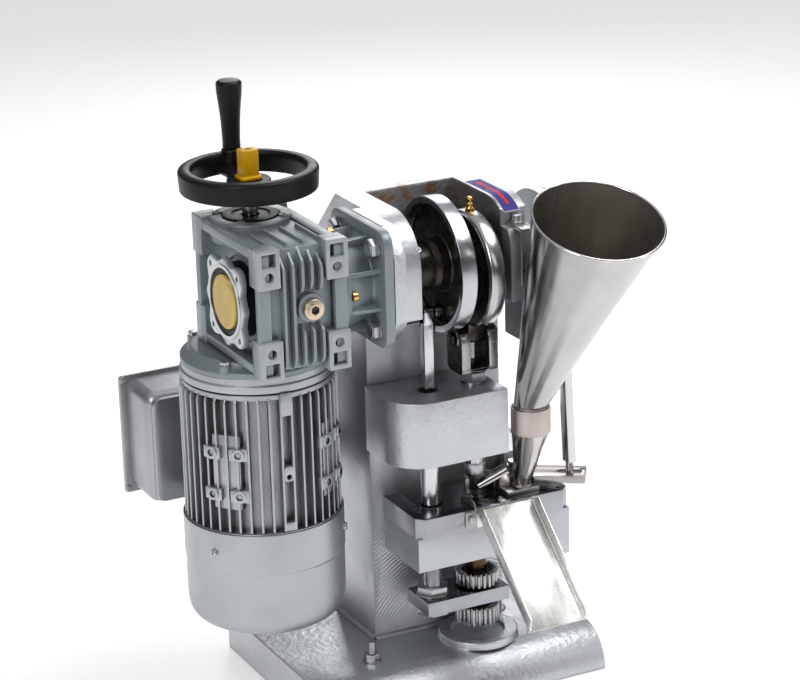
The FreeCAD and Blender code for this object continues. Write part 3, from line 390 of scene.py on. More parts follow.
class Solid:
    """Rounded shapes gathered into one mesh, in millimetres of the row frame."""

    def __init__(self):
        self.bm = bmesh.new()

    def take(self, part, paint=0, turn=None):
        for face in part.faces:
            face.material_index = paint
        if turn:
            bmesh.ops.transform(part, matrix=turn, verts=part.verts)
        bmesh.ops.recalc_face_normals(part, faces=part.faces)
        mesh = bpy.data.meshes.new("part")
        part.to_mesh(mesh)
        part.free()
        self.bm.from_mesh(mesh)
        bpy.data.meshes.remove(mesh)
        return self

    def box(self, low, high, bevel=0.8, paint=0, turn=None, segments=2):
        part = bmesh.new()
        bmesh.ops.create_cube(part, size=1)
        size = [b - a for a, b in zip(low, high)]
        middle = [(a + b) / 2 for a, b in zip(low, high)]
        bmesh.ops.scale(part, vec=size, verts=part.verts)
        bmesh.ops.translate(part, vec=middle, verts=part.verts)
        if bevel:
            bmesh.ops.bevel(part, geom=part.edges[:], offset=bevel, segments=segments, profile=0.5,
                            affect="EDGES", clamp_overlap=True)
        return self.take(part, paint, turn)

    def lathe(self, profile, axis="z", at=(0, 0, 0), paint=0, count=96, closed=False, turn=None, steps=4):
        """Turns a profile of (radius, along, fillet) points about the axis."""
        path = fillet(profile, closed, steps)
        part = bmesh.new()
        rings = []
        for radius, along in path:
            if radius < 1e-5:
                rings.append([part.verts.new((0, 0, along))])
            else:
                rings.append([part.verts.new((radius * math.cos(2 * math.pi * i / count),
                                              radius * math.sin(2 * math.pi * i / count), along))
                              for i in range(count)])
        pairs = list(zip(rings, rings[1:])) + ([(rings[-1], rings[0])] if closed else [])
        for one, two in pairs:
            for i in range(count):
                j = (i + 1) % count
                corners = [one[i % len(one)], one[j % len(one)], two[j % len(two)], two[i % len(two)]]
                unique = list(dict.fromkeys(corners))
                if len(unique) > 2:
                    part.faces.new(unique)
        frame_at = axis_frame(axis, at)
        return self.take(part, paint, turn @ frame_at if turn else frame_at)

    def plate(self, outlines, axis, low, high, bevel=0.5, paint=0, turn=None, at=(0, 0, 0), rounds=1):
        """A prism with holes: the outlines lie across the axis, in its next two axes."""
        curve = bpy.data.curves.new("outline", "CURVE")
        curve.dimensions = "2D"
        curve.fill_mode = "BOTH"
        curve.extrude = (high - low) / 2 - bevel
        curve.bevel_depth = bevel
        curve.bevel_resolution = rounds
        curve.offset = -bevel
        for outline in outlines:
            spline = curve.splines.new("POLY")
            spline.points.add(len(outline) - 1)
            for point, place in zip(spline.points, outline):
                point.co = (place[0], place[1], 0, 1)
            spline.use_cyclic_u = True
        holder = bpy.data.objects.new("outline", curve)
        bpy.context.scene.collection.objects.link(holder)
        bpy.context.view_layer.update()
        mesh = bpy.data.meshes.new_from_object(holder.evaluated_get(bpy.context.evaluated_depsgraph_get()))
        part = bmesh.new()
        part.from_mesh(mesh)
        bpy.data.objects.remove(holder)
        bpy.data.curves.remove(curve)
        bpy.data.meshes.remove(mesh)
        bmesh.ops.remove_doubles(part, verts=part.verts, dist=0.001)
        place = axis_frame(axis, at) @ Matrix.Translation((0, 0, (low + high) / 2))
        return self.take(part, paint, turn @ place if turn else place)

    def hex(self, across, low, high, axis, at, paint=0, turn=None):
        """A hexagon head or nut with turned-off corners."""
        reach = across / math.sqrt(3)
        self.plate([circle(0, 0, reach, 6)], axis, low, high, 0.45, paint, turn, at)
        return self

    def stands_for(self, name, materials, *nodes, smooth=32):
        """The finished mesh replaces CAD nodes, on their body."""
        return self.done(name, materials, BODY_OF[nodes[0]], nodes, SLOT_OF[nodes[0]], smooth)

    def done(self, name, materials, body, replaces=(), slot=None, smooth=32):
        bmesh.ops.scale(self.bm, vec=(MM, MM, MM), verts=self.bm.verts)
        return finish_piece(name, self.bm, materials, body, replaces, smooth)


def swung(at, degrees, axis="Z"):
    """A turn about an axis, then a move to a place."""
    return Matrix.Translation(at) @ Matrix.Rotation(math.radians(degrees), 4, axis)


# ---------------------------------------------------------------- drive

DRIVE = Vector((-196, 0, 418))
MOTOR = Vector((-196, 50, 0))
FIN_COUNT = 44
FLANGE_BOLT = 38
WHITE = (1, 1, 1, 1)


def build_reducer():
    body = Solid()
    x, y, z = DRIVE
    body.box((x - 31, y - 50, z - 56), (x + 31, y + 78, z + 56), 3)
    for side in (-1, 1):
        face, back = sorted((x + side * 42.5, x + side * 31))
        wall = [rectangle(-57, 81, z - 57, z + 57, 5), rectangle(-49, 73, z - 49, z + 49, 9)]
        body.plate(wall, "x", face, back, 0.9)
        inner, outer = sorted((x + side * 22, x + side * 43.2))
        for z0, z1, window, hole in ((z + 24, z + 60, z + 50, z + 35), (z - 60, z - 24, z - 50, z - 35)):
            for front in (-1, 1):
                y_face = -60 if front < 0 else 84
                low, high = sorted((y_face, y_face - front * 10))
                block = rectangle(z0, z1, inner, outer, 1.5)
                opening = rectangle(window - 6, window + 6, inner + 4, outer - 4, 1)
                bore = circle(hole, (inner + outer) / 2, 4.3, 24)
                body.plate([block, opening, bore], "y", low, high, 0.7, 1)
                ends = sorted((y_face - front * 9, y_face - front * 20))
                body.plate([block], "y", ends[0], ends[1], 0.7)
    fins = ((-18.5, -56, 52), (-9.5, -56, 54), (-0.5, 12, 56), (8.5, 14, 54), (17.5, 12, 50))
    for across, low, high in fins:
        outline = [(-48, z + low), (-57, z + low + 4, 2), (-60, z + low + 12, 2), (-60, z + high - 12, 3),
                   (-48, z + high)]
        body.plate([fillet(outline, True)], "x", x + across - 1.3, x + across + 1.3, 0.6)
        if low > 0:
            outline = [(-48, z - 56), (-58, z - 50, 2), (-60, z - 44, 2), (-60, z - 20, 3), (-48, z - 13)]
            body.plate([fillet(outline, True)], "x", x + across - 1.3, x + across + 1.3, 0.6)
    for step in range(4):
        across = x - 24 + 16 * step
        body.box((across - 1.3, -46, z + 50), (across + 1.3, 6, z + 59), 0.6)
    body.lathe([(0, 49), (13, 49), (13, 57, 1.5), (9, 57), (9, 56), (0, 56)], (0, -1, 0),
               (x + 8, 0, z), 0, 48)
    body.lathe([(0, 40), (37, 40), (37, 60, 2), (27, 60, 0.5), (26, 58.5), (9, 58.5), (9, 50)], "z",
               (x, 50, z), 0, 72)
    for angle in (50, 140, 230, 320):
        at = (x + 31 * math.cos(math.radians(angle)), 50 + 31 * math.sin(math.radians(angle)), z)
        body.lathe([(0, 56), (4.6, 56), (4.6, 61.3, 0.7), (2.3, 61.3), (2.3, 58), (0, 58)], "z", at, 0, 24)
    body.lathe([(44, 20), (44, 33, 1), (39, 33), (36, 25)], (-1, 0, 0), DRIVE, 0, 72)
    body.lathe([(47, 30), (47, 45, 1.5), (36, 45, 1), (36, 30)], (1, 0, 0), DRIVE, 0, 72)
    paint = LOOKS["drive_casting"]
    seal = Solid()
    body.stands_for("reducer_casting", [paint, LUG_PAINT], "reducer_housing")
    seal.lathe([(25.5, 58.4), (25.5, 61, 0.8), (18, 61, 0.6), (16.5, 60), (8.6, 60), (8.6, 58.6)], "z",
               (x, 50, z), 0, 72)
    seal.lathe([(23, 31), (23, 46.6, 0.8), (34, 46.6, 0.5), (34, 31)], (-1, 0, 0), DRIVE, 0, 72)
    seal.done("reducer_seals", [LOOKS["black_plastic"]], "frame", (), "black_plastic")


def build_side_cover():
    star = []
    for i in range(144):
        angle = 2 * math.pi * i / 144
        lobe = max(0.0, math.cos(4 * (angle - math.radians(45))))
        step = max(0.0, math.cos(4 * angle)) ** 6
        star.append(Vector((math.cos(angle), math.sin(angle))) * (37.5 + 9.8 * lobe ** 1.1 + 3.2 * step))
    holes = [circle(40.5 * math.cos(a), 40.5 * math.sin(a), 2.6, 20)
             for a in (math.radians(45 + 90 * i) for i in range(4))]
    cover = Solid()
    cover.plate([star, circle(0, 0, 33.5, 72)] + holes, "x", -49.2, -44, 0.7, 0, None, DRIVE)
    face = [point * 0.975 for point in star]
    cover.plate([face, circle(0, 0, 33.5, 72)] + holes, "x", -50, -48.6, 0.25, 1, None, DRIVE)
    cover.lathe([(34, -51, 0.4), (34, -44), (30.6, -44), (30.6, -51, 0.4)], "x", DRIVE, 1, 96, True)
    cover.lathe([(30.7, -49.2), (30.7, -44), (25.0, -44), (25.0, -48.6, 0.4), (27.4, -49.4, 0.4)],
                "x", DRIVE, 3, 96, True)
    for i in range(4):
        angle = math.radians(45 + 90 * i)
        at = DRIVE + Vector((0, 40.5 * math.cos(angle), 40.5 * math.sin(angle)))
        cover.lathe([(0, 47.5), (2.5, 47.5), (2.5, 48.6, 0.3), (1.2, 48.6), (1.2, 47.8), (0, 47.8)],
                    (-1, 0, 0), at, 2, 24)
    shiny = steel("machined_aluminium", (0.62, 0.63, 0.64), 0.22, 0.36, scale=120).done()
    paints = [LOOKS["drive_casting"], shiny, LOOKS["zinc_steel"], LOOKS["black_plastic"]]
    cover.stands_for("output_cover", paints, "side_cover")
    cap = Solid()
    outline = circle(0, 0, 24.6, 96)
    cap.plate([outline], "x", -51, -46, 0.8, 0, None, DRIVE, 3)
    notch = Matrix.Rotation(math.radians(35), 4, "X")
    cap.box((-51, -2.6, 22), (-46.5, 2.6, 28.2), 0.5, 0, Matrix.Translation(DRIVE) @ notch)
    cap.lathe([(20, -51), (20.6, -51.35, 0.1), (21.2, -51)], "x", DRIVE, 0, 96)
    cap.stands_for("output_cap", [CAP_YELLOW], "end_cap")


def build_flange():
    neck = Solid()
    corner = 55
    square = rectangle(-corner, corner, -corner, corner, 17)
    spots = [(sy * FLANGE_BOLT, sz * FLANGE_BOLT) for sy in (-1, 1) for sz in (-1, 1)]
    holes = [circle(y, z, 5.4, 28) for y, z in spots]
    neck.plate([square] + holes, "x", 81, 90, 1.1, 0, None, DRIVE)
    neck.lathe([(23, 44), (48, 44), (48, 52, 1.4), (43.5, 53), (36.5, 79, 3), (46, 82), (23, 82)],
               "x", DRIVE, 0, 96)
    for i in range(8):
        turn = swung(DRIVE, 22.5 + 45 * i, "X")
        neck.plate([[(35, 50), (46, 53), (48, 82), (33, 82)]], "y", -1.8, 1.8, 0.5, 0, turn)
    neck.stands_for("output_neck", [LOOKS["drive_casting"]], "output_flange")
    bolts = Solid()
    left = (-1, 0, 0)
    for y, z in spots:
        at = DRIVE + Vector((0, y, z))
        bolts.lathe([(5.4, -80.9), (9.3, -80.9, 0.3), (9.3, -79.1, 0.3), (5.4, -79.1)], left, at, 0, 40)
        bolts.hex(16, -79.1, -72.8, left, at)
        bolts.lathe([(0, -72.3), (6.2, -72.3), (6.8, -72.9, 0.3), (6.8, -73.4)], left, at, 0, 40)
    screw = 46.8
    for y, z in ((0, screw), (0, -screw), (-screw, 0), (screw, 0)):
        at = DRIVE + Vector((0, y, z))
        bolts.lathe([(0, 52), (4.2, 52), (4.2, 57, 0.8), (2.2, 57), (2.0, 54.5), (0, 54.5)], "x", at, 1, 30)
    bolts.stands_for("flange_fasteners", [LOOKS["zinc_steel"], LOOKS["brass_parts"]], "flange_bolts")
    plug = Solid()
    at = DRIVE + Vector((8, 0, 0))
    plug.lathe([(0, 56), (9.6, 56), (9.6, 62.5, 1.1), (6, 62.9, 0.4)], (0, -1, 0), at, 0, 48)
    plug.plate([circle(0, 0, 6.4, 48), circle(0, 0, 4.1, 6)], "y", -64.2, -60.5, 0.35, 0, None, at)
    plug.lathe([(0, 60.7), (4.2, 60.7)], (0, -1, 0), at, 1, 24)
    plug.stands_for("oil_fill_plug", [PLUG_BRASS, LOOKS["dark_steel"]], "oil_plug")


def build_motor():
    body = Solid()
    body.lathe([(60, 197), (62.6, 197), (62.6, 329), (60, 329)], "z", MOTOR, 0, 88, True)
    for i in range(FIN_COUNT):
        fin = fillet([(60, 197.5), (72.6, 197.5, 1), (72.6, 324, 3), (68, 328.5, 1), (60, 328.5)], True, 3)
        turn = swung(MOTOR, 360 * i / FIN_COUNT)
        body.plate([[(b, a) for a, b in fin]], "y", -1.05, 1.05, 0.45, 0, turn)
    body.lathe([(60, 325), (70, 325), (70, 329.5, 1), (60, 329.5)], "z", MOTOR, 0, 96)
    for angle in (-151, -130, -59.6, -39, 29, 50):
        for height in (274, 234):
            turn = swung(MOTOR, angle)
            body.box((60, -9, height - 6), (73.6, 9, height + 6), 1.1, 0, turn)
            body.lathe([(6.2, 73), (6.2, 75.2, 0.8), (3.2, 75.2, 0.3), (3.0, 71), (0, 71)], "x",
                       (0, 0, height), 0, 32, False, turn)
            body.lathe([(2.95, 75.25), (2.7, 72), (0, 72)], "x", (0, 0, height), 1, 24, False, turn)
    for angle in (-140.5, -49.3, 39.5):
        turn = swung(MOTOR, angle)
        body.box((60, -14, 219), (69.5, 14, 291), 1.5, 0, turn)
    for angle in (-94, 86):
        turn = swung(MOTOR, angle)
        body.plate([fillet([(-5, 246, 4.5), (5, 246, 4.5), (5, 261, 4.5), (-5, 261, 4.5)], True, 6),
                    circle(0, 250.5, 2.3, 20)], "x", 62, 73.4, 0.7, 0, turn)
        body.box((60, -5, 197.5), (72.5, 5, 206), 1, 0, turn)
        body.box((62, -5.5, 309), (73.5, 5.5, 331), 1.1, 0, turn)
    body.stands_for("motor_body", [LOOKS["motor_silver"], LOOKS["dark_steel"]], "motor_frame")
    ring = Solid()
    ring.lathe([(30, 331), (71, 331, 1.2), (71, 338, 0.6), (69.4, 339, 0.4), (69.4, 345, 0.8), (30, 345)],
               "z", MOTOR, 1, 128)
    ring.lathe([(40, 345), (70, 345, 0.8), (70, 350, 1.2), (63, 353.5, 3), (60, 358, 1), (36, 358)], "z",
               MOTOR, 0, 128)
    for i in range(4):
        angle = math.radians(-140 + 90 * i)
        at = MOTOR + Vector((64.5 * math.cos(angle), 64.5 * math.sin(angle), 0))
        ring.lathe([(0, 349), (5.2, 349), (5.2, 356.5, 0.8), (0, 356.5)], "z", at, 0, 24)
        ring.hex(8, 356.4, 360, "z", at, 2)
    ring.lathe([(20, 189.5), (72.6, 189.5), (72.6, 197, 0.8), (20, 197)], "z", MOTOR, 1, 96)
    paints = [LOOKS["drive_casting"], LOOKS["motor_silver"], LOOKS["zinc_steel"]]
    ring.stands_for("motor_shields", paints, "end_shields")
    cowl = Solid()
    inner = [(48.6, 90.8), (63.5, 95.2, 6), (71.4, 103, 6), (73.1, 114, 4), (73.1, 196)]
    outer = [(74.6, 196, 0.5), (74.6, 158, 0.4), (73.9, 156.4, 0.4), (73.9, 114, 5), (72.2, 102, 7),
             (64, 94, 7), (48.6, 89.2, 3)]
    cowl.lathe(inner + outer, "z", MOTOR, 0, 144, True, None, 5)
    for radius in range(10, 48, 6):
        edge = radius + 3.4
        cowl.lathe([(radius, 90.8), (radius, 89, 0.5), (edge, 89, 0.5), (edge, 90.8)], "z", MOTOR, 0, 72,
                   True)
    for i in range(6):
        turn = swung(MOTOR, 60 * i + 15)
        cowl.box((6, -2.2, 88.9), (50, 2.2, 91), 0.5, 0, turn)
    cowl.lathe([(0, 88.7), (9, 88.7, 0.4), (9, 91), (0, 91)], "z", MOTOR, 0, 48)
    for angle in (-152, -32, 88):
        turn = swung(MOTOR, angle)
        cowl.lathe([(4.6, 74), (4.6, 75.3, 0.2), (0, 75.3)], "x", (0, 0, 176), 1, 32, False, turn)
        cowl.lathe([(3.4, 75.2), (3.4, 77, 0.9), (0.9, 77.4), (0.7, 76.4), (0, 76.4)], "x", (0, 0, 176), 1,
                   32, False, turn)
    cowl.stands_for("fan_hood", [LOOKS["motor_silver"], LOOKS["zinc_steel"]], "fan_cowl", "cover_screws")


def build_terminal_box():
    case = Solid()
    case.box((-277, 123.8, 186), (-121, 190, 296), 11, 0, None, 5)
    everything = case.bm.verts[:] + case.bm.edges[:] + case.bm.faces[:]
    lid_seat = (0, 177, 0)
    bmesh.ops.bisect_plane(case.bm, geom=everything, plane_co=lid_seat, plane_no=(0, 1, 0), clear_outer=True)
    bmesh.ops.holes_fill(case.bm, edges=case.bm.edges[:])
    case.plate([rectangle(190, 292, -273, -125, 9)], "y", 119, 126, 0.8)
    case.stands_for("terminal_case", [LOOKS["box_paint"]], "terminal_box")
    lid = Solid()
    lid.plate([rectangle(182, 300, -284, -114, 4)], "y", 176, 178.4, 0.7)
    lid.plate([rectangle(187, 295, -278, -120, 6)], "y", 178, 181, 1.1, 0, None, (0, 0, 0), 3)
    for x in (-280.3, -117.7):
        for z in (186, 296):
            lid.lathe([(0, -176.2), (3.4, -176.2), (3.4, -174.4, 0.9), (0, -174.2)], (0, -1, 0), (x, 0, z),
                      1, 24)
            lid.lathe([(0, 178.2), (2.9, 178.2), (2.9, 180, 0.6), (0, 180)], "y", (x, 0, z), 1, 24)
    lid.stands_for("terminal_cover", [LOOKS["box_paint"], LOOKS["zinc_steel"]], "terminal_lid")


def build_handwheel():
    wheel = Solid()
    centre = (-196, 50, 418)
    rim = [(53.5, 84, 1.5), (62.3, 84, 2), (63.5, 103.2, 3.4), (58, 105, 3), (52, 104.2, 3), (51.3, 100, 3)]
    wheel.lathe(rim, "z", centre, 0, 128, True, None, 6)
    wheel.lathe([(7, 70), (14.5, 70, 1), (15.5, 78, 2), (20, 86, 2), (20, 93, 1.5), (7, 93)], "z", centre,
                0, 64)
    for angle in (82, 262):
        turn = swung(centre, angle)
        arm = fillet([(14, -15, 4), (34, -12, 8), (53, -17, 2), (53, 17, 2), (34, 12, 8), (14, 15, 4)],
                     True, 5)
        wheel.plate([arm], "z", 86.5, 92.5, 1.6, 0, turn, (0, 0, 0), 2)
    grip = (centre[0] + 8, centre[1] + 54, centre[2])
    wheel.lathe([(0, 92), (9.8, 92), (9.8, 106, 1.2), (8.6, 107.6, 0.5), (0, 107.6)], "z", grip, 0, 48)
    wheel.stands_for("hand_wheel", [LOOKS["black_plastic"]], "handwheel")
    handle = Solid()
    barrel = [(4.2, 108.4), (8.3, 108.4, 0.8), (8.1, 114, 2), (8.9, 136, 10), (11.6, 160, 10),
              (11.9, 168.6, 1.6), (9.8, 170.6, 0.8), (5, 171), (0, 171)]
    handle.lathe(barrel, "z", grip, 0, 64, False, None, 6)
    handle.stands_for("crank_grip", [LOOKS["black_plastic"]], "crank_handle")
    post = Solid()
    top = [rectangle(-8, 8, -6.5, 6.5, 1.0), circle(0, 0, 2.6, 24)]
    post.plate(top, "z", 96, 120, 0.5, 0, None, centre)
    post.lathe([(0, 112), (2.9, 112)], "z", centre, 1, 24)
    post.plate([rectangle(-10.5, 10.5, -9, 9, 4)], "z", 92.6, 96.4, 1.6, 0, None, centre, 3)
    post.stands_for("square_post", [LOOKS["yellow_plastic"], LOOKS["black_plastic"]], "wheel_post")


# ---------------------------------------------------------------- shaft line

SHAFT = Vector((0, 0, 418))
STRAP_EYE = 343
LIFTER = -47.5


def build_cup():
    cup = Solid()
    cup.lathe([(57, -41.8, 0.5), (63, -41.8, 0.8), (63, -26.5, 0.8), (57, -26.5), (57, -31.5)], "x", SHAFT,
              0, 144, True)
    hollow = [(57.1, -41), (57.1, -32, 2.5), (25, -31.2, 3), (24.5, -41.5, 1), (22.6, -47, 1),
              (21.2, -67, 1.2), (16.2, -67.8)]
    cup.lathe(hollow, "x", SHAFT, 1, 128)
    cup.lathe([(16.2, -26.6), (62.4, -26.6), (62.4, -27.6)], "x", SHAFT, 0, 128)
    cup.lathe([(3.4, 20.5), (3.4, 26.4, 0.5), (1.6, 26.4), (1.5, 24), (0, 24)], "z", (-61.3, 0, 0), 2, 24,
              False, swung(SHAFT, 35, "X"))
    cup.stands_for("cam_cup", [CUP_RIM, CUP_OIL, LOOKS["zinc_steel"]], "lift_cam_cup")


def build_strap():
    centre = (0, 0, 408)
    ring = Solid()
    ring.lathe([(38.6, -8.2, 0.6), (50.5, -8.7, 1.2), (54.6, -6.8, 2.4), (55.6, 0, 5), (54.6, 6.8, 2.4),
                (50.5, 8.7, 1.2), (38.6, 8.2, 0.6)], "x", centre, 0, 144, True, None, 6)
    # a dark disc on the left face only: painted shade
    ring.lathe([(38.8, -8.9), (52, -8.9, 0.4), (52, -8.2)], "x", centre, 1, 96)
    lug = fillet([(-13, 371, 4), (-9, 352, 5), (-8.2, 338, 3), (0, 335.6, 6), (8.2, 338, 3), (9, 352, 5),
                  (13, 371, 4)], True, 6)
    ring.plate([lug, circle(0, STRAP_EYE, 4.7, 32)], "x", -8.7, 8.7, 0.9, 2)
    ring.stands_for("crank_strap", [STRAP_SHINE, LOOKS["dark_steel"], LOOKS["dark_steel"]], "eccentric_strap")


def build_nipple():
    nipple = Solid()
    nipple.hex(9, 460.8, 465.4, "z", (0, 0, 0))
    nipple.lathe([(0, 465), (4.3, 465.2, 0.4), (3.4, 467, 0.5), (3.4, 469.6, 0.8), (2.2, 471, 0.6),
                  (3.6, 473.4, 1.2), (2.6, 475.8, 1), (0, 476.2)], "z", (0, 0, 0), 0, 40)
    nipple.stands_for("grease_fitting", [LOOKS["brass_parts"]], "grease_nipple")


def fork_steel():
    metal = oily("fork_oiled_steel", (0.05, 0.048, 0.046))
    # faces turned toward the front are painted light grey: painted highlight
    front = metal.step(metal.facing(1), -0.6, -0.92)
    metal.tint(metal.maths("MULTIPLY", front, 0.85), (0.52, 0.52, 0.53))
    return metal.done()


def build_ram_end():
    fork = Solid()
    cheek = fillet([(-15, 309.4, 7), (15, 309.4, 7), (15, 352, 14.5), (-15, 352, 14.5)], True, 8)
    for side in (-1, 1):
        low, high = sorted((side * 9.4, side * 19.2))
        fork.plate([cheek, circle(0, STRAP_EYE, 4.6, 32)], "x", low, high, 1.3, 0, None, (0, 0, 0), 2)
        boss = sorted((side * 18.8, side * 20.6))
        fork.plate([circle(0, STRAP_EYE, 10, 48), circle(0, STRAP_EYE, 4.7, 32)], "x", boss[0], boss[1], 0.6)
    fork.lathe([(8, 309.1), (14, 309.1, 0.8), (19, 313.4, 2), (8, 314.4)], "z", (0, 0, 0), 0, 48)
    fork.box((-19, -14.6, 310.5), (19, 14.6, 314.6), 1.2)
    fork.stands_for("ram_clevis", [fork_steel()], "ram_fork")
    nut = Solid()
    nut.hex(24, 300.1, 308.9, "z", (0, 0, 0))
    nut.lathe([(8, 299.4), (11.6, 299.4, 0.5), (11.6, 300.6), (8, 300.6)], "z", (0, 0, 0), 0, 48, True)
    nut.stands_for("ram_nut", [LOOKS["zinc_steel"]], "ram_lock_nut")


def thread(solid, radius, low, high, pitch, at, paint=0, depth=0.7):
    """Thread crests as a stack of ridges."""
    profile = [(0, low)]
    turns = int((high - low) / pitch)
    for i in range(turns):
        profile += [(radius - depth, low + i * pitch), (radius, low + (i + 0.5) * pitch)]
    profile += [(radius - depth, low + turns * pitch), (0, low + turns * pitch)]
    solid.lathe(profile, "z", at, paint, 40)


def build_lifting():
    rod = Solid()
    x = LIFTER
    rod.box((x - 5, -5, 288), (x + 5, 5, 373), 0.9)
    rod.plate([fillet([(-5, 362), (5, 362), (7, 368, 2), (7, 379, 7), (-7, 379, 7), (-7, 368, 2)], True, 8)],
              "x", x - 5, x + 5, 1.0, 0, None, (0, 0, 0), 2)
    rod.lathe([(0, 150), (9.5, 150, 1), (9.5, 290, 1.2), (0, 290)], "z", (x, 0, 0), 0, 64)
    thread(rod, 8.5, 70.8, 150.5, 1.75, (x, 0, 0))
    rod.lathe([(0, -9.4), (4.9, -9.4, 0.8), (4.9, -5), (0, -5)], "x", (x, 0, 372), 1, 32)
    rod.lathe([(0, 5), (3, 5), (3, 16, 0.4), (0, 16)], "x", (x, 0, 372), 1, 32)
    rod.stands_for("lifting_bar", [LOOKS["polished_steel"], LOOKS["dark_steel"]], "lifting_rod")
    nuts = Solid()
    nuts.lathe([(8.7, 93.1), (15.8, 93.1, 0.4), (15.8, 94.6, 0.4), (8.7, 94.6)], "z", (x, 0, 0), 0, 64, True)
    nuts.hex(27.5, 94.5, 102, "z", (x, 0, 0))
    nuts.hex(27.5, 73.6, 79.4, "z", (x, 0, 0))
    nuts.stands_for("lifting_lock_nuts", [LOOKS["zinc_steel"]], "lifting_nuts")


def build_gear(name, node, low, high):
    teeth, root, shoulder, tip = 24, 18.5, 21.0, 21.3
    tooth = ((-0.36, root), (-0.22, shoulder), (-0.16, tip), (0.16, tip), (0.22, shoulder), (0.36, root))
    outline = []
    for i in range(teeth):
        for share, radius in tooth:
            angle = 2 * math.pi * (i + 0.5 + share) / teeth
            outline.append(Vector((radius * math.cos(angle), radius * math.sin(angle))))
    gear = Solid()
    gear.plate([outline, circle(0, 0, 15.2, 64)], "z", low, high, 0.3)
    hub = [(8.2, low + 0.4), (15.3, low + 0.4), (15.3, high - 2.4), (10.8, high - 2.4, 0.5),
           (10.8, high - 0.2, 0.5), (8.2, high - 0.2)]
    gear.lathe(hub, "z", (0, 0, 0), 1, 64, True)
    gear.stands_for(name, [LOOKS["gear_steel"], LOOKS["dark_steel"]], node)


def build_studs():
    studs = Solid()
    for x, y in ((-115, -2), (86, -2), (-115, 146), (86, 146)):
        studs.lathe([(4, 39.1), (8.6, 39.1, 0.3), (8.6, 40.7, 0.4), (4, 40.7)], "z", (x, y, 0), 0, 40, True)
        turn = swung((x, y, 0), 17 + x) @ Matrix.Translation((-x, -y, 0))
        studs.hex(13, 40.7, 47.2, "z", (x, y, 0), 0, turn)
        thread(studs, 4, 40, 58.8, 1.25, (x, y, 0), 0, 0.6)
    studs.stands_for("foot_bolts", [LOOKS["zinc_steel"]], "foot_studs")


def build_chute():
    chute = Solid()
    slope = swung((-18, -36, 182.4), 41.2, "X")
    chute.box((0, -129, 0), (60, 0, 1.4), 0.4, 0, slope)
    wall = [Vector(p) for p in ((-129, 0.2), (-122, 13), (-5, 13), (0.5, 0.2))]
    for x in (0, 58.6):
        chute.plate([wall], "x", x, x + 1.4, 0.4, 0, slope)
    for x in (1.9, 58.1):
        chute.lathe([(0, -128), (1.3, -128), (1.3, -2), (0, -2)], "y", (x, 0, 1.9), 0, 12, False, slope)
    chute.box((-18, -36.6, 166.4), (42, -35.1, 183), 0.4)
    guard = fillet([(-8, 184.8), (-8, 190, 3), (-27, 193.4, 8), (-36.5, 190, 5), (-36.5, 169, 2),
                    (-34.9, 169), (-34.9, 184.8)], True)
    chute.plate([guard], "x", -20.1, -18.6, 0.4, 1)
    chute.box((-30, -36.6, 168.4), (-18, -35.1, 183.9), 0.5, 1)
    chute.stands_for("discharge_chute", [CHUTE_STEEL, SATIN], "chute")


def build_spout():
    spout = Solid()
    spout.lathe([(17.2, 250.4, 0.4), (18.6, 250.4, 0.6), (18.6, 275.4, 0.6), (17.2, 275.4, 0.4)], "z",
                (42, -33.6, 0), 1, 96, True)
    count, rows = 96, 16
    part = bmesh.new()
    top, foot = Vector((42, -33, 251)), Vector((42, -14.6, 189.4))
    rings = []
    for k in range(rows + 1):
        share = k / rows
        middle = top.lerp(foot, share)
        ring = []
        for i in range(count):
            angle = 2 * math.pi * i / count
            crease = 0.5 * max(0.0, math.cos(4 * angle + 0.6)) ** 8 * math.sin(math.pi * min(1, share * 1.1))
            radius = (18.0 + (8.2 - 18.0) * share) * (1 - 0.06 * math.sin(math.pi * share)) + crease
            across = Vector((radius * math.cos(angle), radius * math.sin(angle), 0))
            ring.append(part.verts.new(middle + across))
        rings.append(ring)
    for one, two in zip(rings, rings[1:]):
        for i in range(count):
            j = (i + 1) % count
            part.faces.new((one[i], one[j], two[j], two[i]))
    spout.take(part)
    for z, y, radius in ((251, -33, 18.2), (276.2, -34, 16.4)):
        spout.lathe([(radius - 0.6, z - 1), (radius + 0.5, z - 1, 0.5), (radius + 0.5, z + 0.8, 0.5),
                     (radius - 0.6, z + 0.8)], "z", (42, y, 0), 2, 96, True)
    spout.lathe([(8, 189.3), (10, 189.3, 0.8), (9.2, 192, 0.8), (8, 192)], "z", (42, -14.8, 0), 2, 64, True)
    spout.stands_for("spout_taper", [SATIN_POLISH, BAND, WELD], "hopper_spout", smooth=50)
    scoop = Solid()
    start, end = Vector((3.5, 0.5, 190.5)), Vector((31, -6.5, 204))
    along = (end - start).normalized()
    side = along.cross(Vector((0, 0, 1))).normalized()
    upward = side.cross(along)
    part = bmesh.new()
    rows = []
    for k in range(13):
        share = k / 12
        middle, radius = start.lerp(end, share), 5.6 + 2.2 * share
        row = []
        for skin in (0, -0.9):
            angles = [math.pi * (i / 20) for i in range(21)]
            if skin:
                angles.reverse()
            reach = radius + skin
            row += [part.verts.new(middle + side * (reach * math.cos(t)) + upward * (reach * math.sin(t)))
                    for t in angles]
        rows.append(row)
    for one, two in zip(rows, rows[1:]):
        for i in range(len(one)):
            j = (i + 1) % len(one)
            part.faces.new((one[i], one[j], two[j], two[i]))
    part.faces.new(rows[0][::-1])
    part.faces.new(rows[-1])
    scoop.take(part)
    scoop.done("feed_scoop", [SATIN_POLISH], "boot", (), "stainless_sheet", 40)


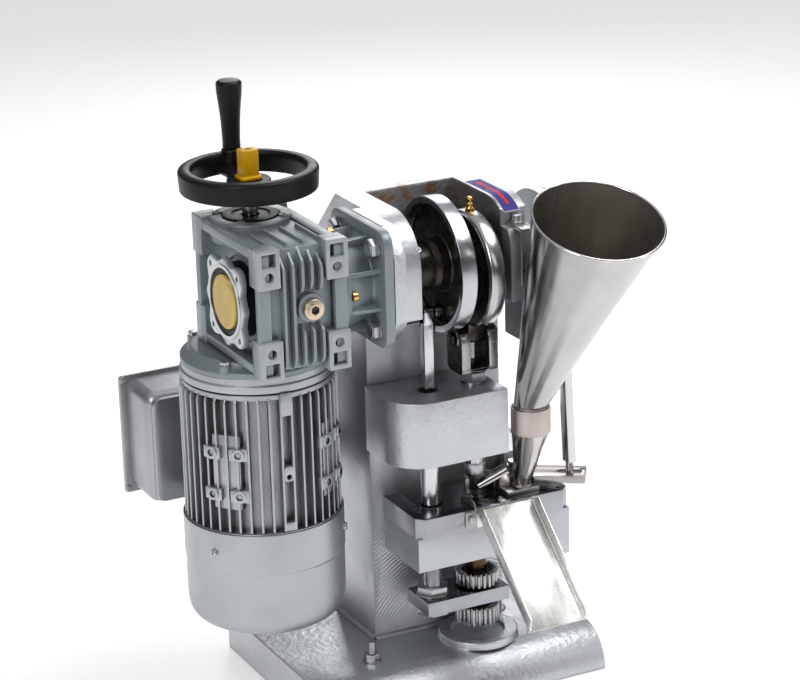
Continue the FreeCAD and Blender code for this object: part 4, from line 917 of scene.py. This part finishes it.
def build_hopper():
    mouth, neck = Vector((59, -130, 477)), Vector((42, -34, 276))
    tilt = Matrix.Rotation(math.radians(20.5), 3, "X")
    count, rows = 160, 28
    neck_radius, mouth_radius, sheet = 16, 60, 1.15

    def on_cone(share, radius, angle):
        flat = Vector((radius * math.cos(angle), radius * math.sin(angle), 0))
        return (neck + flat) * (1 - share) + (mouth + tilt @ flat) * share

    def ring_at(share, extra):
        radius = neck_radius + (mouth_radius - neck_radius) * share + extra
        return [on_cone(share, radius, 2 * math.pi * i / count) for i in range(count)]
    outside = [ring_at(i / rows, 0.0) for i in range(rows + 1)]
    inside = [ring_at(i / rows, -sheet) for i in range(rows, -1, -1)]
    skins = ((outside, 0), ([outside[-1]] + inside + [outside[0]], 3))
    cone = Solid()
    for rings, paint in skins:
        skin = bmesh.new()
        copies = [[skin.verts.new(point) for point in ring] for ring in rings]
        for one, two in zip(copies, copies[1:]):
            for i in range(count):
                j = (i + 1) % count
                skin.faces.new((one[i], one[j], two[j], two[i]))
        for face in skin.faces:
            face.material_index = paint
        mesh = bpy.data.meshes.new("skin")
        skin.to_mesh(mesh)
        skin.free()
        cone.bm.from_mesh(mesh)
        bpy.data.meshes.remove(mesh)
    bmesh.ops.remove_doubles(cone.bm, verts=cone.bm.verts, dist=0.001)
    bmesh.ops.recalc_face_normals(cone.bm, faces=cone.bm.faces)
    rim = bmesh.new()
    bead = []
    wire, wire_ring = 1.35, 59.6
    upward = tilt @ Vector((0, 0, 1))
    for i in range(count):
        angle = 2 * math.pi * i / count
        across = tilt @ Vector((math.cos(angle), math.sin(angle), 0))
        loop = []
        for k in range(10):
            t = 2 * math.pi * k / 10
            out = across * (wire_ring + wire * math.cos(t))
            loop.append(rim.verts.new(mouth + out + upward * (wire * math.sin(t) - 0.4)))
        bead.append(loop)
    for i in range(count):
        one, two = bead[i], bead[(i + 1) % count]
        for k in range(10):
            rim.faces.new((one[k], one[(k + 1) % 10], two[(k + 1) % 10], two[k]))
    cone.take(rim, 1)
    seam = bmesh.new()
    strip = []
    for i in range(41):
        share = i / 40
        radius = neck_radius + (mouth_radius - neck_radius) * share
        row = []
        for side, lift in ((-1.5, -1.1), (-0.6, -1.55), (0.6, -1.55), (1.5, -1.1)):
            row.append(seam.verts.new(on_cone(share, radius + lift, math.radians(100) + side / radius)))
        strip.append(row)
    for one, two in zip(strip, strip[1:]):
        for k in range(3):
            seam.faces.new((one[k], one[k + 1], two[k + 1], two[k]))
    cone.take(seam, 2)
    paints = [HOPPER_SHINE, LOOKS["stainless_sheet"], WELD, SHADED_HOPPER_INSIDE]
    cone.stands_for("hopper_cone", paints, "hopper", smooth=50)


def build_label():
    """A plain arrow on a blue-violet label, bent over the right arm's top and front."""
    flat, bend, centre_y, centre_z = 44.0, 48.0, 11.0, 425.0
    reach = 77.5

    def spot(across, along, lift):
        if along < flat:
            return across, centre_y + flat - along, centre_z + bend + lift
        angle = math.pi / 2 + (along - flat) / bend
        radius = bend + lift
        return across, centre_y + radius * math.cos(angle), centre_z + radius * math.sin(angle)

    def strip(solid, sides, start, end, lift, paint):
        part = bmesh.new()
        rows = []
        for i in range(33):
            share = i / 32
            along = start + (end - start) * share
            left, right = sides(share)
            rows.append([part.verts.new(spot(left, along, lift)), part.verts.new(spot(right, along, lift)),
                         part.verts.new(spot(right, along, 0.02)), part.verts.new(spot(left, along, 0.02))])
        for one, two in zip(rows, rows[1:]):
            for k in range(4):
                part.faces.new((one[k], one[(k + 1) % 4], two[(k + 1) % 4], two[k]))
        part.faces.new(rows[0])
        part.faces.new(rows[-1][::-1])
        solid.take(part, paint)
    label = Solid()
    strip(label, lambda t: (24.2, 41.2), 0, reach, 0.12, 0)
    strip(label, lambda t: (25.0, 40.4), 0.9, reach - 0.9, 0.17, 1)
    strip(label, lambda t: (31.2, 34.2), 17, 68, 0.24, 2)
    strip(label, lambda t: (32.7 - 4.1 * t, 32.7 + 4.1 * t), 7, 17, 0.24, 2)
    label.done("arrow_label", [LABEL_EDGE, LABEL_BLUE, LABEL_RED], "frame", (), "box_paint", 60)


# ---------------------------------------------------------------- stage

def build_stage():
    bm = bmesh.new()
    bmesh.ops.create_grid(bm, x_segments=1, y_segments=1, size=9)
    mesh = bpy.data.meshes.new("floor")
    bm.to_mesh(mesh)
    bm.free()
    floor = bpy.data.objects.new("floor", mesh)
    bpy.context.scene.collection.objects.link(floor)
    floor.location.z = -0.0002
    pale = Finish("pale_floor", (0.93, 0.93, 0.93), 0.0, 0.6)
    pale.set("Emission Color", WHITE)
    pale.set("Emission Strength", 0.34)
    pale.tint(pale.step(pale.noise(3, 3), 0.3, 0.8, 0, 0.3), (0.92, 0.92, 0.925))
    mesh.materials.append(pale.done())


def build_world():
    world = bpy.data.worlds.new("studio")
    bpy.context.scene.world = world
    world.use_nodes = True
    tree = world.node_tree
    place = tree.nodes.new("ShaderNodeTexCoord").outputs["Generated"]
    split = tree.nodes.new("ShaderNodeSeparateXYZ")
    tree.links.new(place, split.inputs[0])
    ramp = tree.nodes.new("ShaderNodeValToRGB")
    tree.links.new(split.outputs[2], ramp.inputs[0])
    stops = [(0.0, 0.30), (0.12, 0.20), (0.26, 0.05), (0.36, 0.08),
             (0.46, 0.42), (0.60, 0.16), (0.80, 0.6), (1.0, 0.62)]
    while len(ramp.color_ramp.elements) < len(stops):
        ramp.color_ramp.elements.new(0.5)
    for element, (at, value) in zip(ramp.color_ramp.elements, stops):
        element.position = at
        element.color = (value, value, value * 1.01, 1)
    back = tree.nodes["Background"]
    tree.links.new(ramp.outputs[0], back.inputs[0])
    back.inputs[1].default_value = 0.9
    bpy.context.scene.view_settings.view_transform = "Standard"


def area_light(name, at, target, wide, power, tall):
    data = bpy.data.lights.new(name, "AREA")
    data.energy = power
    data.shape = "RECTANGLE"
    data.size = wide
    data.size_y = tall
    lamp = bpy.data.objects.new(name, data)
    lamp.location = at
    lamp.rotation_mode = "QUATERNION"
    lamp.rotation_quaternion = (Vector(target) - Vector(at)).to_track_quat("-Z", "Y")
    bpy.context.scene.collection.objects.link(lamp)


def build_camera():
    """The photo's view."""
    azimuth, elevation, roll = math.radians(-26.57), math.radians(19.18), math.radians(-1.61)
    lens, place = 126.525, (-1.1592, -2.1683, 1.1945)
    back = Vector((math.sin(azimuth) * math.cos(elevation), -math.cos(azimuth) * math.cos(elevation),
                   math.sin(elevation)))
    right = (-back).cross(Vector((0, 0, 1))).normalized()
    up = right.cross(-back)
    right_rolled = right * math.cos(roll) + up * math.sin(roll)
    up_rolled = up * math.cos(roll) - right * math.sin(roll)
    data = bpy.data.cameras.new("view")
    data.lens = lens
    data.sensor_width = 36
    data.clip_end = 100
    camera = bpy.data.objects.new("view", data)
    turn = Matrix((right_rolled, up_rolled, back)).transposed().to_4x4()
    camera.matrix_world = Matrix.Translation(place) @ turn
    bpy.context.scene.collection.objects.link(camera)
    bpy.context.scene.camera = camera


build_stage()
build_world()
build_camera()
MIDDLE = (-0.05, 0, 0.3)
LIGHTS = (  # name, place, width, power, height
    ("key", (-2.0, -1.5, 1.9), 1.0, 27, 1.4),
    ("fill", (1.9, -1.7, 1.2), 0.4, 7, 1.8),
    ("top", (0.85, -0.45, 2.3), 1.5, 27, 1.2),
    ("rim", (0.9, 1.9, 1.4), 0.8, 11, 1.4),
)
for light, place, width, power, tall in LIGHTS:
    area_light(light, place, MIDDLE, width, power, tall)

build_reducer()
build_side_cover()
build_flange()
build_motor()
build_terminal_box()
build_handwheel()
build_cup()
build_strap()
build_hopper()
build_nipple()
build_ram_end()
build_lifting()
build_gear("ejection_gear_wheel", "upper_gear", 95.1, 107.9)
build_gear("fill_gear_wheel", "lower_gear", 56.1, 72.9)
build_studs()
build_chute()
build_spout()
build_label()

SPECIAL = {
    "head_casting": (head_paint(), 0.0022),
    "frame_column": (column_paint(), 0.0012),
    "table_plate": (table_steel(), 0.0008),
    "base_plate": (CAST, 0.0016),
    "guide_block": (CAST, 0.0018),
    "lifting_plate": (table_steel(), 0.0008),
    "boot_shoe": (SATIN, 0.0005),
    "boot_arm": (SATIN, 0.0006),
    "lower_ram": (BROWN, 0.0005),
    "front_bracket": (SATIN, 0.0005),
}

HIDDEN_INSIDE = ("bearings", "stator", "rotor", "worm", "worm_wheel", "fan")
for node in NODES:
    if NODES[node].hide_render:
        continue
    if node in HIDDEN_INSIDE:
        NODES[node].data.materials.clear()
        NODES[node].data.materials.append(LOOKS[SLOT_OF[node]])
    elif node in SPECIAL:
        softened(node, SPECIAL[node][1], SPECIAL[node][0], 3)
    else:
        softened(node)
